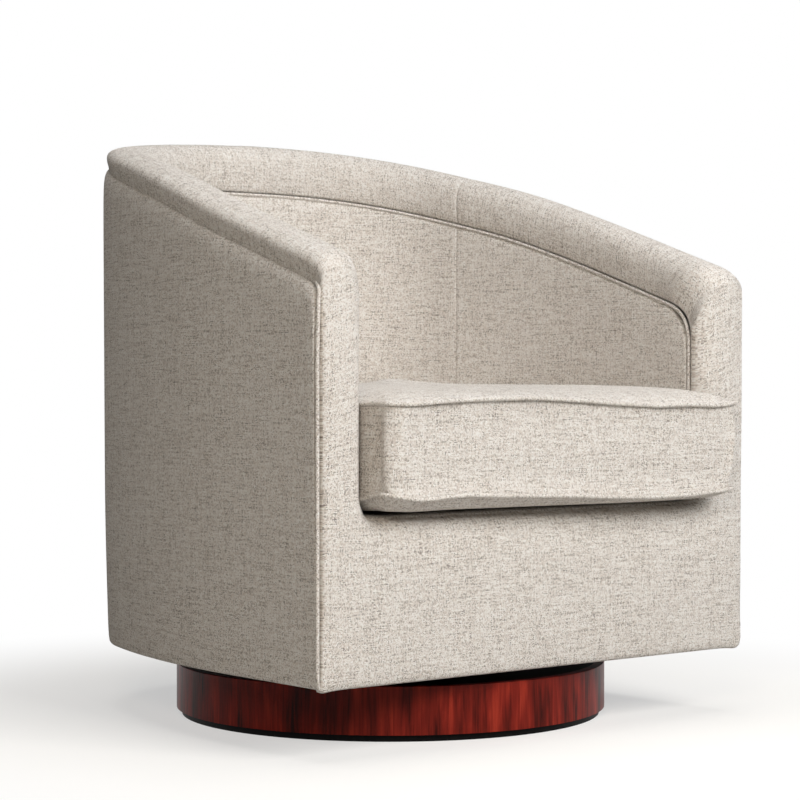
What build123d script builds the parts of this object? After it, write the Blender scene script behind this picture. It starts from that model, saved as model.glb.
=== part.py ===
"""Swivel barrel chair: an upholstered tub on a round veneered drum, with a loose box cushion.

Frame: millimetres, +Z up, floor at Z = 0, swivel axis on Z, the seat opens towards -Y.
Every layer of the tub is a slice of one plan outline, moved inward by an inset measured
from the outside face, and trimmed by one sloping rim line seen from the side.
"""
import os
from math import cos, radians, sin

from build123d import *

os.makedirs("parts", exist_ok=True)

# ---- driving dimensions: plan of the tub ----
WIDTH = 720.0                 # over the outside faces
FRONT_Y = -312.5              # plane of the arm fronts
SIDE_END_Y = -129.0           # where the straight sides start to curve
FLANK_RADIUS = 1178.0         # gentle curve of each side towards the back
FLANK_SWEEP = 16.7            # degrees turned by the gentle curve
CORNER_RADIUS = 281.0         # rounded back
SEAM_SWEEP = 14.85            # degrees along the gentle curve where the band is seamed

# ---- driving dimensions: rim line, from the side ----
RIM_FRONT = (-330.0, 591.7)   # (Y, Z) of the crown, ahead of the arm fronts
RIM_ARM = (25.0, 709.5)       # end of the straight slope along the arms
RIM_FLANK = (201.0, 756.0)
RIM_CORNER = (330.0, 787.5)
RIM_BACK = (382.0, 796.5)     # crown at the middle of the back
RIM_SLOPE = 0.333             # rise per length along the arms
RIM_BACK_SLOPE = 0.06
OUTER_SEAM_DROP = 36.0        # crown down to the welt outside
INNER_SEAM_DROP = 69.0        # crown down to the welt inside
RIM_EDGE_RADIUS = 22.0        # rounding of the rim's two edges

# ---- driving dimensions: heights ----
PLINTH_HEIGHT = 8.8
DRUM_TOP = 70.0
BODY_Z = 87.5                 # underside of the tub
CLOTH = 1.0                   # dust cover, and cloth turned under the frame
BOARD = 18.0                  # plywood of the bottom and of the drum
SEAT_RAIL_TOP = 256.0
SEAT_RAIL_THICK = 24.0
DECK_TOP = 288.0

# ---- driving dimensions: layers of the tub, as insets from the outside face ----
COVER = 6.0                   # outside cover with its wadding
FRAME_IN = 44.0               # inner face of the posts and top rail
SHELL = 70.0                  # inner face of the inside pads
RAIL_IN = 112.0               # inner edge of the seat rail
RIM_PAD = 33.0                # padding between the crown and the top rail
TOP_RAIL_DEEP = 25.0
FRONT_RAIL_THICK = 40.0
WELT = 6.0                    # thickness of the piping
WELT_PROUD = 2.5              # how far the outside piping stands out
INNER_WELT_PROUD = 1.0

# ---- driving dimensions: drum and swivel ----
DRUM_RADIUS = 290.4
DRUM_WALL = 12.0
PLINTH_SET_IN = 7.2           # plinth edge inside the drum's face
BLOCK_COUNT = 6
BLOCK_SIZE = (60.0, 36.0)
BLOCK_RADIUS = 215.0
PLATE_EDGE = 20.0             # from a bolt's middle to the edge of its plate
PLATE_THICK = 3.0
PLATE_CORNER_RADIUS = 18.0
PLATE_CLEAR = 1.0             # dust cover's cut-out round the plate
BOLT_SPACING = 200.0
BOLT_DIAMETER = 8.0
BOLT_HEAD = (16.0, 4.0)       # diameter, height
BOLT_REACH = 12.0             # shank inside the board
RACE_RADIUS = 80.0
RACE_WIDTH = 18.0
BALL_DIAMETER = 9.5
BALL_PLAY = 0.1               # gap between a ball and its groove
BALL_COUNT = 10
CAGE_THICK = 1.6
CAGE_PLAY = 0.6               # cage to each race
PIVOT_DIAMETER = 20.0
PIVOT_HEAD = (34.0, 3.0)      # diameter, height
PIVOT_HEAD_CLEAR = 1.0        # hole in the boards round the rivet's heads
PIVOT_PLAY = 0.3
DRUM_EDGE_RADIUS = 1.0        # eased top edge of the veneer

# ---- driving dimensions: posts round the tub ----
STUD_WIDTH = 40.0
SIDE_STUD_Y = -90.0           # middle of the stud in each straight side
FLANK_STUD_SWEEP = 11.0       # degrees along the gentle curve
CORNER_STUD_SWEEP = 52.0      # degrees round the corner, counted from square across

# ---- driving dimensions: seat springs ----
SPRING_COUNT = 5
SPRING_REACH = 0.89           # outer springs, as a share of the back rail's corner radius
SPRING_WIRE = 4.0
SPRING_WIDTH = 46.0
SPRING_STEP = 32.0            # between crossbars

CLIP_SIZE = (24.0, 14.0)
CLIP_METAL = 1.0              # strap over the wire
CLIP_SET_BACK = 2.0           # clip to the edge of its rail

# ---- driving dimensions: seat platform and front ----
FELT = 2.0
DECK_CLOTH = 2.0
EDGE_ROLL = 18.5              # depth of the foam roll along the front edge
SOFT_GAP = 0.3                # between soft parts that only rest side by side
FRONT_WRAP = 30.5             # how far the front cover runs back on the inside of each arm

# ---- driving dimensions: cushion ----
CUSHION_GAP = 2.0             # cushion piping to the inside pads
CUSHION_WELT_PROUD = 2.0
CUSHION_FRONT = -360.0        # face of the boxing, ahead of the arm fronts
CUSHION_CORNER_RADIUS = 28.0
LOW_WELT_HEIGHT = 306.0       # floor to the middle of the lower piping
HIGH_WELT_HEIGHT = 420.0      # floor to the middle of the upper piping
CROWN_HEIGHT = 449.0          # floor to the crown of the cushion
CUSHION_SKIN = 3.0
CUSHION_TOP_RADIUS = 22.0     # rounding where the top panel turns down to the piping
CUSHION_UNDER_RADIUS = 12.0   # the same under the cushion
ZIP_HEIGHT = 8.0
ZIP_SLIDER = (12.0, 9.0, 2.6)  # along the zip, height, how far it stands out
ZIP_PLAY = 0.2                # slider to the zip's teeth
ZIP_CLOSED_SWEEP = 12.0       # degrees round the back corner where the closed slider sits

HALF = WIDTH / 2
SIDES = ((-1, "left"), (1, "right"))
FAR = 2 * WIDTH               # longer than anything in the chair
TOP = 900.0                   # above the crown
FLANK_CENTRE = (FLANK_RADIUS - HALF, SIDE_END_Y)
CORNER_SHIFT = FLANK_RADIUS - CORNER_RADIUS
CORNER_CENTRE = (
    FLANK_CENTRE[0] - CORNER_SHIFT * cos(radians(FLANK_SWEEP)),
    FLANK_CENTRE[1] + CORNER_SHIFT * sin(radians(FLANK_SWEEP)),
)
PLINTH_RADIUS = DRUM_RADIUS - PLINTH_SET_IN
PLATE_SIDE = BOLT_SPACING + 2 * PLATE_EDGE
PIVOT_MID = (DRUM_TOP + BODY_Z + CLOTH) / 2
FRAME_Z = BODY_Z + CLOTH
BOARD_TOP = FRAME_Z + BOARD
SEAT_RAIL_Z = SEAT_RAIL_TOP - SEAT_RAIL_THICK
FRAME_FRONT = FRONT_Y + COVER
RAIL_BACK = FRAME_FRONT + FRONT_RAIL_THICK
INNER_HALF = HALF - SHELL


# ---- shared shapes ----
def plan(inset, front=FRONT_Y):
    """Plan of the tub moved inward by inset: straight sides, gentle flanks, round corners."""
    half = HALF - inset
    with BuildSketch() as shape:
        with BuildLine() as edge:
            side = Line((-half, front), (-half, SIDE_END_Y))
            flank = JernArc(side @ 1, side % 1, FLANK_RADIUS - inset, -FLANK_SWEEP)
            corner = JernArc(flank @ 1, flank % 1, CORNER_RADIUS - inset, FLANK_SWEEP - 90)
            Line(corner @ 1, (0, (corner @ 1).Y))
            mirror(about=Plane.YZ)
            Line((half, front), (-half, front))
        make_face()
    return shape.sketch


def below_rim(drop):
    """Everything under the rim line lowered by drop."""
    shift = Vector(0, -drop)
    crown = [Vector(*p) + shift for p in (RIM_FRONT, RIM_ARM, RIM_FLANK, RIM_CORNER, RIM_BACK)]
    beyond = Vector(FAR, crown[-1].Y)
    floor = -10.0
    with BuildPart() as wedge:
        with BuildSketch(Plane.YZ):
            with BuildLine():
                Spline(*crown, tangents=[(1, RIM_SLOPE), (1, RIM_BACK_SLOPE)])
                Polyline(crown[-1], beyond, (FAR, floor), (RIM_FRONT[0], floor), crown[0])
            make_face()
        extrude(amount=FAR, both=True)
    return wedge.part


def hoop(outer, inner, top_drop, bottom_drop=None, bottom_z=BODY_Z, front=FRONT_Y):
    """U-shaped layer between two insets, its top on the rim line lowered by top_drop."""
    upper = below_rim(top_drop)
    lower = below_rim(bottom_drop) if bottom_drop is not None else None
    ring = plan(outer, front) - plan(inner, front)
    with BuildPart() as layer:
        with BuildSketch(Plane.XY.offset(bottom_z)):
            add(ring)
        extrude(amount=TOP - bottom_z)
        add(upper, mode=Mode.INTERSECT)
        if lower:
            add(lower, mode=Mode.SUBTRACT)
    return layer.part


def across(side, centre, radius, sweep):
    """Upright plane across the wall of the tub at an angle round one of its arcs, facing back."""
    turn = radians(sweep)
    spot = (side * (radius * cos(turn) - centre[0]), centre[1] + radius * sin(turn), 0)
    return Plane(origin=spot, x_dir=(side * cos(turn), sin(turn), 0), z_dir=(-side * sin(turn), cos(turn), 0))


SEAM = {side: across(side, FLANK_CENTRE, FLANK_RADIUS - SHELL, SEAM_SWEEP) for side in (-1, 1)}


def keep_arm(body, side):
    """The stretch of a hoop ahead of the seam on one side."""
    half = Keep.BOTTOM if side < 0 else Keep.TOP
    with BuildPart() as piece:
        add(body)
        split(bisect_by=Plane.YZ, keep=half)
        split(bisect_by=SEAM[side], keep=Keep.BOTTOM)
    return piece.part


def keep_back(body):
    """The stretch of a hoop behind both seams."""
    with BuildPart() as piece:
        add(body)
        split(bisect_by=SEAM[-1], keep=Keep.TOP)
        split(bisect_by=SEAM[1], keep=Keep.TOP)
    return piece.part


def keep_half(body, side):
    """One half of a hoop, cut at the middle of the back."""
    half = Keep.BOTTOM if side < 0 else Keep.TOP
    with BuildPart() as piece:
        add(body)
        split(bisect_by=Plane.YZ, keep=half)
    return piece.part


def finish(part, label):
    """Name a finished piece and write it out."""
    part.label = label
    export_step(part, f"parts/{label}.step")


# ---- drum: plinth, blocks, veneered wall, top board ----
with BuildPart() as plinth_board:
    Cylinder(PLINTH_RADIUS, PLINTH_HEIGHT, align=(Align.CENTER, Align.CENTER, Align.MIN))
finish(plinth_board.part, "plinth_board")

with BuildPart() as drum_wall:
    with BuildSketch(Plane.XY.offset(PLINTH_HEIGHT)):
        Circle(DRUM_RADIUS)
        Circle(DRUM_RADIUS - DRUM_WALL, mode=Mode.SUBTRACT)
    extrude(amount=DRUM_TOP - PLINTH_HEIGHT)
    fillet(drum_wall.edges().group_by(Axis.Z)[-1].sort_by(SortBy.LENGTH)[-1], DRUM_EDGE_RADIUS)
finish(drum_wall.part, "drum_wall")

bolt_grid = GridLocations(BOLT_SPACING, BOLT_SPACING, 2, 2)
drum_inside = DRUM_RADIUS - DRUM_WALL
drum_board_z = DRUM_TOP - BOARD
with BuildPart() as drum_top_board:
    with BuildSketch(Plane.XY.offset(drum_board_z)):
        Circle(drum_inside)
        Circle(PIVOT_HEAD[0] / 2 + PIVOT_HEAD_CLEAR, mode=Mode.SUBTRACT)
        with bolt_grid:
            Circle(BOLT_DIAMETER / 2, mode=Mode.SUBTRACT)
    extrude(amount=BOARD)
finish(drum_top_board.part, "drum_top_board")

with BuildPart() as drum_blocks:
    with BuildSketch(Plane.XY.offset(PLINTH_HEIGHT)):
        with PolarLocations(BLOCK_RADIUS, BLOCK_COUNT, start_angle=30):
            Rectangle(BLOCK_SIZE[1], BLOCK_SIZE[0])
    extrude(amount=drum_board_z - PLINTH_HEIGHT)
finish(drum_blocks.part, "drum_blocks")

# ---- swivel: two plates with a grooved race each, balls in a cage, a rivet at the middle ----
upper_plate_z = FRAME_Z - PLATE_THICK
ball_radius = BALL_DIAMETER / 2
groove_radius = ball_radius + BALL_PLAY
race_gap = CAGE_THICK / 2 + CAGE_PLAY
lower_race_top = PIVOT_MID - race_gap
upper_race_bottom = PIVOT_MID + race_gap


def swivel_plate(plate_z, race_z, race_tip, bore):
    """Square plate with corner bolt holes and a ring round its pivot hole, grooved for the balls.

    race_z is the ring's root on the plate, race_tip its rim towards the other plate.
    """
    half = RACE_WIDTH / 2
    upwards = 1 if race_tip > PIVOT_MID else -1
    depth = groove_radius + BALL_PLAY
    apex = groove_radius * 2**0.5
    mouth = apex - abs(PIVOT_MID - race_tip)
    with BuildPart() as plate:
        with BuildSketch(Plane.XY.offset(plate_z)):
            RectangleRounded(PLATE_SIDE, PLATE_SIDE, PLATE_CORNER_RADIUS)
            Circle(bore, mode=Mode.SUBTRACT)
            with bolt_grid:
                Circle(BOLT_DIAMETER / 2, mode=Mode.SUBTRACT)
        extrude(amount=PLATE_THICK)
        with BuildSketch(Plane.XZ):
            with BuildLine():
                Polyline(
                    (RACE_RADIUS - half, race_z),
                    (RACE_RADIUS - half, race_tip),
                    (RACE_RADIUS - mouth, race_tip),
                    (RACE_RADIUS - apex + depth, PIVOT_MID + upwards * depth),
                    (RACE_RADIUS + apex - depth, PIVOT_MID + upwards * depth),
                    (RACE_RADIUS + mouth, race_tip),
                    (RACE_RADIUS + half, race_tip),
                    (RACE_RADIUS + half, race_z),
                    close=True,
                )
            make_face()
        revolve(axis=Axis.Z)
    return plate.part


pivot_radius = PIVOT_DIAMETER / 2
lower_swivel_plate = swivel_plate(DRUM_TOP, DRUM_TOP + PLATE_THICK, lower_race_top, pivot_radius)
finish(lower_swivel_plate, "lower_swivel_plate")
upper_swivel_plate = swivel_plate(
    upper_plate_z, upper_plate_z, upper_race_bottom, pivot_radius + PIVOT_PLAY
)
finish(upper_swivel_plate, "upper_swivel_plate")

with BuildPart() as pivot_rivet:
    head_low = DRUM_TOP - PIVOT_HEAD[1]
    with BuildSketch(Plane.XY.offset(head_low)):
        Circle(PIVOT_HEAD[0] / 2)
    extrude(amount=PIVOT_HEAD[1])
    with BuildSketch(Plane.XY.offset(DRUM_TOP)):
        Circle(pivot_radius)
    extrude(amount=FRAME_Z + PIVOT_PLAY - DRUM_TOP)
    with BuildSketch(Plane.XY.offset(FRAME_Z + PIVOT_PLAY)):
        Circle(PIVOT_HEAD[0] / 2)
    extrude(amount=PIVOT_HEAD[1])
finish(pivot_rivet.part, "pivot_rivet")

ball_ring = PolarLocations(RACE_RADIUS, BALL_COUNT)
with BuildPart() as ball_cage:
    with BuildSketch(Plane.XY.offset(PIVOT_MID - CAGE_THICK / 2)):
        Circle(RACE_RADIUS + RACE_WIDTH / 2)
        Circle(RACE_RADIUS - RACE_WIDTH / 2, mode=Mode.SUBTRACT)
        with ball_ring:
            Circle(groove_radius, mode=Mode.SUBTRACT)
    extrude(amount=CAGE_THICK)
finish(ball_cage.part, "ball_cage")

with BuildPart(Plane.XY.offset(PIVOT_MID)) as bearing_balls:
    with PolarLocations(RACE_RADIUS, BALL_COUNT):
        Sphere(ball_radius)
finish(bearing_balls.part, "bearing_balls")


def plate_bolts(head_z, shank_z):
    """Four bolts at the corners of a swivel plate. The lower end of head and shank is given."""
    with BuildPart() as bolts:
        with BuildSketch(Plane.XY.offset(head_z)):
            with bolt_grid:
                Circle(BOLT_HEAD[0] / 2)
        extrude(amount=BOLT_HEAD[1])
        with BuildSketch(Plane.XY.offset(shank_z)):
            with bolt_grid:
                Circle(BOLT_DIAMETER / 2)
        extrude(amount=PLATE_THICK + BOLT_REACH)
    return bolts.part


lower_bolts = plate_bolts(DRUM_TOP + PLATE_THICK, DRUM_TOP - BOLT_REACH)
finish(lower_bolts, "lower_plate_bolts")
upper_bolts = plate_bolts(upper_plate_z - BOLT_HEAD[1], upper_plate_z)
finish(upper_bolts, "upper_plate_bolts")

# ---- frame of the tub: bottom board, rails, posts ----
with BuildPart() as bottom_board:
    with BuildSketch(Plane.XY.offset(FRAME_Z)):
        add(plan(COVER, FRAME_FRONT))
        Circle(PIVOT_HEAD[0] / 2 + PIVOT_HEAD_CLEAR, mode=Mode.SUBTRACT)
        with bolt_grid:
            Circle(BOLT_DIAMETER / 2, mode=Mode.SUBTRACT)
    extrude(amount=BOARD)
finish(bottom_board.part, "bottom_board")

with BuildPart() as dust_cover:
    with BuildSketch(Plane.XY.offset(BODY_Z)):
        add(plan(COVER, FRAME_FRONT))
        Rectangle(PLATE_SIDE + 2 * PLATE_CLEAR, PLATE_SIDE + 2 * PLATE_CLEAR, mode=Mode.SUBTRACT)
    extrude(amount=CLOTH)
finish(dust_cover.part, "dust_cover")

with BuildPart() as front_rail:
    with BuildSketch(Plane.XY.offset(BOARD_TOP)):
        with Locations((0, (FRAME_FRONT + RAIL_BACK) / 2)):
            Rectangle(WIDTH - 2 * COVER, FRONT_RAIL_THICK)
    extrude(amount=SEAT_RAIL_TOP - BOARD_TOP)
finish(front_rail.part, "front_rail")

rail_ring = plan(COVER, RAIL_BACK) - plan(RAIL_IN, RAIL_BACK)
with BuildPart() as seat_rail:
    with BuildSketch(Plane.XY.offset(SEAT_RAIL_Z)):
        add(rail_ring)
    extrude(amount=SEAT_RAIL_THICK)
finish(seat_rail.part, "seat_rail")

below_pad = below_rim(RIM_PAD)
below_top_rail = below_rim(RIM_PAD + TOP_RAIL_DEEP)

for side, word in SIDES:
    with BuildPart() as arm_post:
        with BuildSketch(Plane.XY.offset(SEAT_RAIL_TOP)):
            with Locations((side * (HALF - (COVER + FRAME_IN) / 2), (FRAME_FRONT + RAIL_BACK) / 2)):
                Rectangle(FRAME_IN - COVER, FRONT_RAIL_THICK)
        extrude(amount=TOP - SEAT_RAIL_TOP)
        add(below_top_rail, mode=Mode.INTERSECT)
    finish(arm_post.part, f"arm_post_{word}")

stud_planes = [Plane(origin=(0, WIDTH / 2, 0), x_dir=(0, 1, 0), z_dir=(1, 0, 0))]
for side, word in SIDES:
    stud_planes.append(Plane(origin=(side * HALF, SIDE_STUD_Y, 0), x_dir=(1, 0, 0), z_dir=(0, 1, 0)))
    stud_planes.append(across(side, FLANK_CENTRE, FLANK_RADIUS, FLANK_STUD_SWEEP))
    stud_planes.append(across(side, CORNER_CENTRE, CORNER_RADIUS, CORNER_STUD_SWEEP))

with BuildPart() as stud_slabs:
    for stud_plane in stud_planes:
        with BuildSketch(Plane(origin=stud_plane.origin, x_dir=stud_plane.x_dir, z_dir=(0, 0, 1))):
            Rectangle(2 * SHELL, STUD_WIDTH)
        extrude(amount=TOP)
slabs = stud_slabs.part
frame_ring = plan(COVER, RAIL_BACK) - plan(FRAME_IN, RAIL_BACK)

with BuildPart() as lower_studs:
    with BuildSketch(Plane.XY.offset(BOARD_TOP)):
        add(frame_ring)
    extrude(amount=SEAT_RAIL_Z - BOARD_TOP)
    add(slabs, mode=Mode.INTERSECT)
finish(lower_studs.part, "lower_studs")

with BuildPart() as upper_studs:
    with BuildSketch(Plane.XY.offset(SEAT_RAIL_TOP)):
        add(frame_ring)
    extrude(amount=TOP - SEAT_RAIL_TOP)
    add(slabs, mode=Mode.INTERSECT)
    add(below_top_rail, mode=Mode.INTERSECT)
finish(upper_studs.part, "upper_studs")

top_rail = hoop(COVER, FRAME_IN, RIM_PAD, RIM_PAD + TOP_RAIL_DEEP, SEAT_RAIL_TOP, FRAME_FRONT)
for side, word in SIDES:
    finish(keep_arm(top_rail, side), f"top_rail_{word}")
finish(keep_back(top_rail), "top_rail_back")

# ---- seat platform: flat zigzag springs, their clips, felt, pad, cloth, edge roll ----
clip_front_y = RAIL_BACK - CLIP_SIZE[1] / 2 - CLIP_SET_BACK
rail_radius = CORNER_RADIUS - RAIL_IN
spring_reach = SPRING_REACH * rail_radius - CORNER_CENTRE[0]
spring_xs = [spring_reach * (2 * n / (SPRING_COUNT - 1) - 1) for n in range(SPRING_COUNT)]
wire_half = SPRING_WIRE / 2
clip_spots = []
with BuildPart() as seat_springs:
    with BuildSketch(Plane.XY.offset(SEAT_RAIL_TOP)):
        for spring_x in spring_xs:
            over = max(abs(spring_x) + CORNER_CENTRE[0], 0)
            back_y = CORNER_CENTRE[1] + (rail_radius**2 - over**2) ** 0.5 + CLIP_SIZE[1]
            bars = int((back_y - clip_front_y) // SPRING_STEP)
            step = (back_y - clip_front_y) / bars
            for bar in range(bars + 1):
                bar_y = clip_front_y + bar * step
                with Locations((spring_x, bar_y)):
                    Rectangle(SPRING_WIDTH, SPRING_WIRE)
                if bar < bars:
                    bend_x = spring_x + (-1) ** bar * (SPRING_WIDTH / 2 - wire_half)
                    with Locations((bend_x, bar_y + step / 2)):
                        Rectangle(SPRING_WIRE, step + SPRING_WIRE)
            clip_spots += [(spring_x, clip_front_y), (spring_x, back_y)]
    extrude(amount=SPRING_WIRE)
finish(seat_springs.part, "seat_springs")

with BuildPart() as spring_clips:
    with BuildSketch(Plane.XY.offset(SEAT_RAIL_TOP)):
        with Locations(*clip_spots):
            Rectangle(*CLIP_SIZE)
            Rectangle(SPRING_WIDTH, SPRING_WIRE, mode=Mode.SUBTRACT)
    extrude(amount=SPRING_WIRE)
    with BuildSketch(Plane.XY.offset(SEAT_RAIL_TOP + SPRING_WIRE)):
        with Locations(*clip_spots):
            Rectangle(*CLIP_SIZE)
    extrude(amount=CLIP_METAL)
finish(spring_clips.part, "spring_clips")

felt_z = SEAT_RAIL_TOP + SPRING_WIRE + CLIP_METAL
pad_z = felt_z + FELT
cloth_z = DECK_TOP - DECK_CLOTH
roll_back = FRAME_FRONT + EDGE_ROLL
seat_well = plan(SHELL + INNER_WELT_PROUD + SOFT_GAP, roll_back)
for label, low, high in (
    ("spring_felt", felt_z, pad_z),
    ("deck_pad", pad_z, cloth_z),
    ("deck_cloth", cloth_z, DECK_TOP),
):
    with BuildPart() as deck_layer:
        with BuildSketch(Plane.XY.offset(low)):
            add(seat_well)
        extrude(amount=high - low)
    finish(deck_layer.part, label)

with BuildPart() as edge_roll:
    with BuildSketch(Plane.YZ):
        with Locations((FRAME_FRONT, SEAT_RAIL_TOP)):
            Rectangle(EDGE_ROLL, DECK_TOP - SEAT_RAIL_TOP, align=(Align.MIN, Align.MIN))
    extrude(amount=INNER_HALF - SOFT_GAP, both=True)
finish(edge_roll.part, "edge_roll")

# ---- padding and covers of the tub ----
inner_pad = hoop(
    FRAME_IN, SHELL, INNER_SEAM_DROP + WELT / 2, None, SEAT_RAIL_TOP, FRONT_Y + FRONT_WRAP + WELT
)
for side, word in SIDES:
    finish(keep_arm(inner_pad, side), f"inner_pad_{word}")
finish(keep_back(inner_pad), "inner_pad_back")

outer_cover = hoop(0, COVER, OUTER_SEAM_DROP + WELT / 2, None, BODY_Z, FRAME_FRONT)
for side, word in SIDES:
    finish(keep_half(outer_cover, side), f"outer_cover_{word}")

rim_lip = hoop(FRAME_IN, SHELL, RIM_PAD, INNER_SEAM_DROP - WELT / 2, SEAT_RAIL_TOP, FRAME_FRONT)
with BuildPart() as rim_band:
    add(hoop(0, SHELL, 0, RIM_PAD, SEAT_RAIL_TOP))
    crown_edges = rim_band.faces().filter_by(lambda f: f.normal_at().Z > 0.5).sort_by(SortBy.AREA)[-1].edges()
    fillet(crown_edges, RIM_EDGE_RADIUS)
    add(rim_lip)
rim = rim_band.part
finish(keep_back(rim), "rim_band_back")

# the front is one cover: across the rail, up both arm fronts and along the arms to the seams
wrap_back = FRONT_Y + FRONT_WRAP
front_width = WIDTH - 2 * COVER
front_top = below_rim(RIM_PAD)
arm_lining = hoop(FRAME_IN, SHELL, RIM_PAD, None, SEAT_RAIL_TOP, FRAME_FRONT)
with BuildPart() as front_cover:
    with BuildSketch(Plane.XY.offset(BODY_Z)):
        with Locations((0, FRONT_Y)):
            Rectangle(front_width, COVER, align=(Align.CENTER, Align.MIN))
    extrude(amount=TOP - BODY_Z)
    add(front_top, mode=Mode.INTERSECT)
    with BuildSketch(Plane.XY.offset(DECK_TOP)):
        with Locations((0, FRONT_Y)):
            Rectangle(2 * INNER_HALF, 3 * COVER)
    extrude(amount=TOP - DECK_TOP, mode=Mode.SUBTRACT)
    for side, word in SIDES:
        add(keep_arm(rim, side))
    with BuildPart(mode=Mode.PRIVATE) as returns:
        add(arm_lining)
        split(bisect_by=Plane.XZ.offset(-wrap_back), keep=Keep.TOP)
    add(returns.part)
finish(front_cover.part, "front_cover")

# ---- piping of the tub ----
welt_leg = COVER + WELT_PROUD
outer_line = hoop(
    -WELT_PROUD, COVER, OUTER_SEAM_DROP - WELT / 2, OUTER_SEAM_DROP + WELT / 2, BODY_Z, FRAME_FRONT - welt_leg
)
with BuildPart() as outer_welt:
    with BuildSketch(Plane.XY.offset(BODY_Z)):
        for side, word in SIDES:
            with Locations((side * (HALF - COVER + welt_leg / 2), FRAME_FRONT - welt_leg / 2)):
                Rectangle(welt_leg, welt_leg)
    extrude(amount=TOP - BODY_Z)
    add(below_rim(OUTER_SEAM_DROP), mode=Mode.INTERSECT)
    add(outer_line)
finish(outer_welt.part, "outer_welt")

inner_line_out = SHELL + INNER_WELT_PROUD
inner_line = hoop(
    FRAME_IN, inner_line_out, INNER_SEAM_DROP - WELT / 2, INNER_SEAM_DROP + WELT / 2, BODY_Z, wrap_back
)
with BuildPart() as inner_welt:
    with BuildSketch(Plane.XY.offset(SEAT_RAIL_TOP)):
        for side, word in SIDES:
            with Locations((side * (HALF - (FRAME_IN + inner_line_out) / 2), wrap_back + WELT / 2)):
                Rectangle(inner_line_out - FRAME_IN, WELT)
    extrude(amount=TOP - SEAT_RAIL_TOP)
    add(below_rim(INNER_SEAM_DROP), mode=Mode.INTERSECT)
    add(inner_line)
finish(inner_welt.part, "inner_welt")

# ---- loose cushion: foam, domed panels, boxing with a zip behind, piping ----
cushion_welt_inset = SHELL + CUSHION_GAP
boxing_inset = cushion_welt_inset + CUSHION_WELT_PROUD
foam_inset = boxing_inset + CUSHION_SKIN
cushion_base = DECK_TOP + SOFT_GAP
boxing_low = LOW_WELT_HEIGHT + WELT / 2
boxing_high = HIGH_WELT_HEIGHT - WELT / 2
panel_low = LOW_WELT_HEIGHT - WELT / 2
panel_high = HIGH_WELT_HEIGHT + WELT / 2


def cushion_plan(inset):
    """Plan of the cushion: the tub's inside, run out past the arms with rounded front corners."""
    step_in = inset - boxing_inset
    front = CUSHION_FRONT + step_in
    with BuildSketch() as shape:
        add(plan(inset, front))
        fillet(shape.vertices().group_by(Axis.Y)[0], CUSHION_CORNER_RADIUS - step_in)
    return shape.sketch


def cushion_dome(inset, start, end, edge_radius):
    """Shallow block from a welt line to the crown of a panel, rounded at the crown."""
    height = end - start
    rounding = edge_radius - (inset - boxing_inset)
    with BuildPart() as dome:
        with BuildSketch(Plane.XY.offset(start)):
            add(cushion_plan(inset))
        extrude(amount=height)
        crown = Axis.Z if height > 0 else -Axis.Z
        fillet(dome.faces().sort_by(crown)[-1].edges(), rounding)
    return dome.part


def cushion_ring(outer, inner, low, high):
    """Upright band round the cushion."""
    with BuildPart() as band:
        with BuildSketch(Plane.XY.offset(low)):
            add(cushion_plan(outer))
            add(cushion_plan(inner), mode=Mode.SUBTRACT)
        extrude(amount=high - low)
    return band.part


foam_top = cushion_dome(foam_inset, panel_high, CROWN_HEIGHT - CUSHION_SKIN, CUSHION_TOP_RADIUS)
foam_bottom = cushion_dome(foam_inset, panel_low, cushion_base + CUSHION_SKIN, CUSHION_UNDER_RADIUS)
with BuildPart() as cushion_foam:
    with BuildSketch(Plane.XY.offset(panel_low)):
        add(cushion_plan(foam_inset))
    extrude(amount=panel_high - panel_low)
    add(foam_top)
    add(foam_bottom)
finish(cushion_foam.part, "cushion_foam")

for label, foam_dome, start, end, edge_radius in (
    ("cushion_top_panel", foam_top, panel_high, CROWN_HEIGHT, CUSHION_TOP_RADIUS),
    ("cushion_bottom_panel", foam_bottom, panel_low, cushion_base, CUSHION_UNDER_RADIUS),
):
    panel_dome = cushion_dome(boxing_inset, start, end, edge_radius)
    with BuildPart() as panel:
        add(panel_dome)
        add(foam_dome, mode=Mode.SUBTRACT)
    finish(panel.part, label)

for label, middle in (("cushion_top_welt", HIGH_WELT_HEIGHT), ("cushion_bottom_welt", LOW_WELT_HEIGHT)):
    finish(cushion_ring(cushion_welt_inset, foam_inset, middle - WELT / 2, middle + WELT / 2), label)

boxing = cushion_ring(boxing_inset, foam_inset, boxing_low, boxing_high)
zip_start = Plane.XZ.offset(-CORNER_CENTRE[1])
zip_low = (LOW_WELT_HEIGHT + HIGH_WELT_HEIGHT - ZIP_HEIGHT) / 2
zip_high = zip_low + ZIP_HEIGHT
with BuildPart() as cushion_boxing:
    add(boxing)
    split(bisect_by=zip_start, keep=Keep.TOP)
finish(cushion_boxing.part, "cushion_boxing")

with BuildPart() as cushion_zip_band:
    for low, high in ((boxing_low, zip_low), (zip_high, boxing_high)):
        add(cushion_ring(boxing_inset, foam_inset, low, high))
    split(bisect_by=zip_start, keep=Keep.BOTTOM)
finish(cushion_zip_band.part, "cushion_zip_band")

with BuildPart() as cushion_zip:
    add(cushion_ring(boxing_inset, foam_inset, zip_low, zip_high))
    split(bisect_by=zip_start, keep=Keep.BOTTOM)
finish(cushion_zip.part, "cushion_zip")

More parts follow.
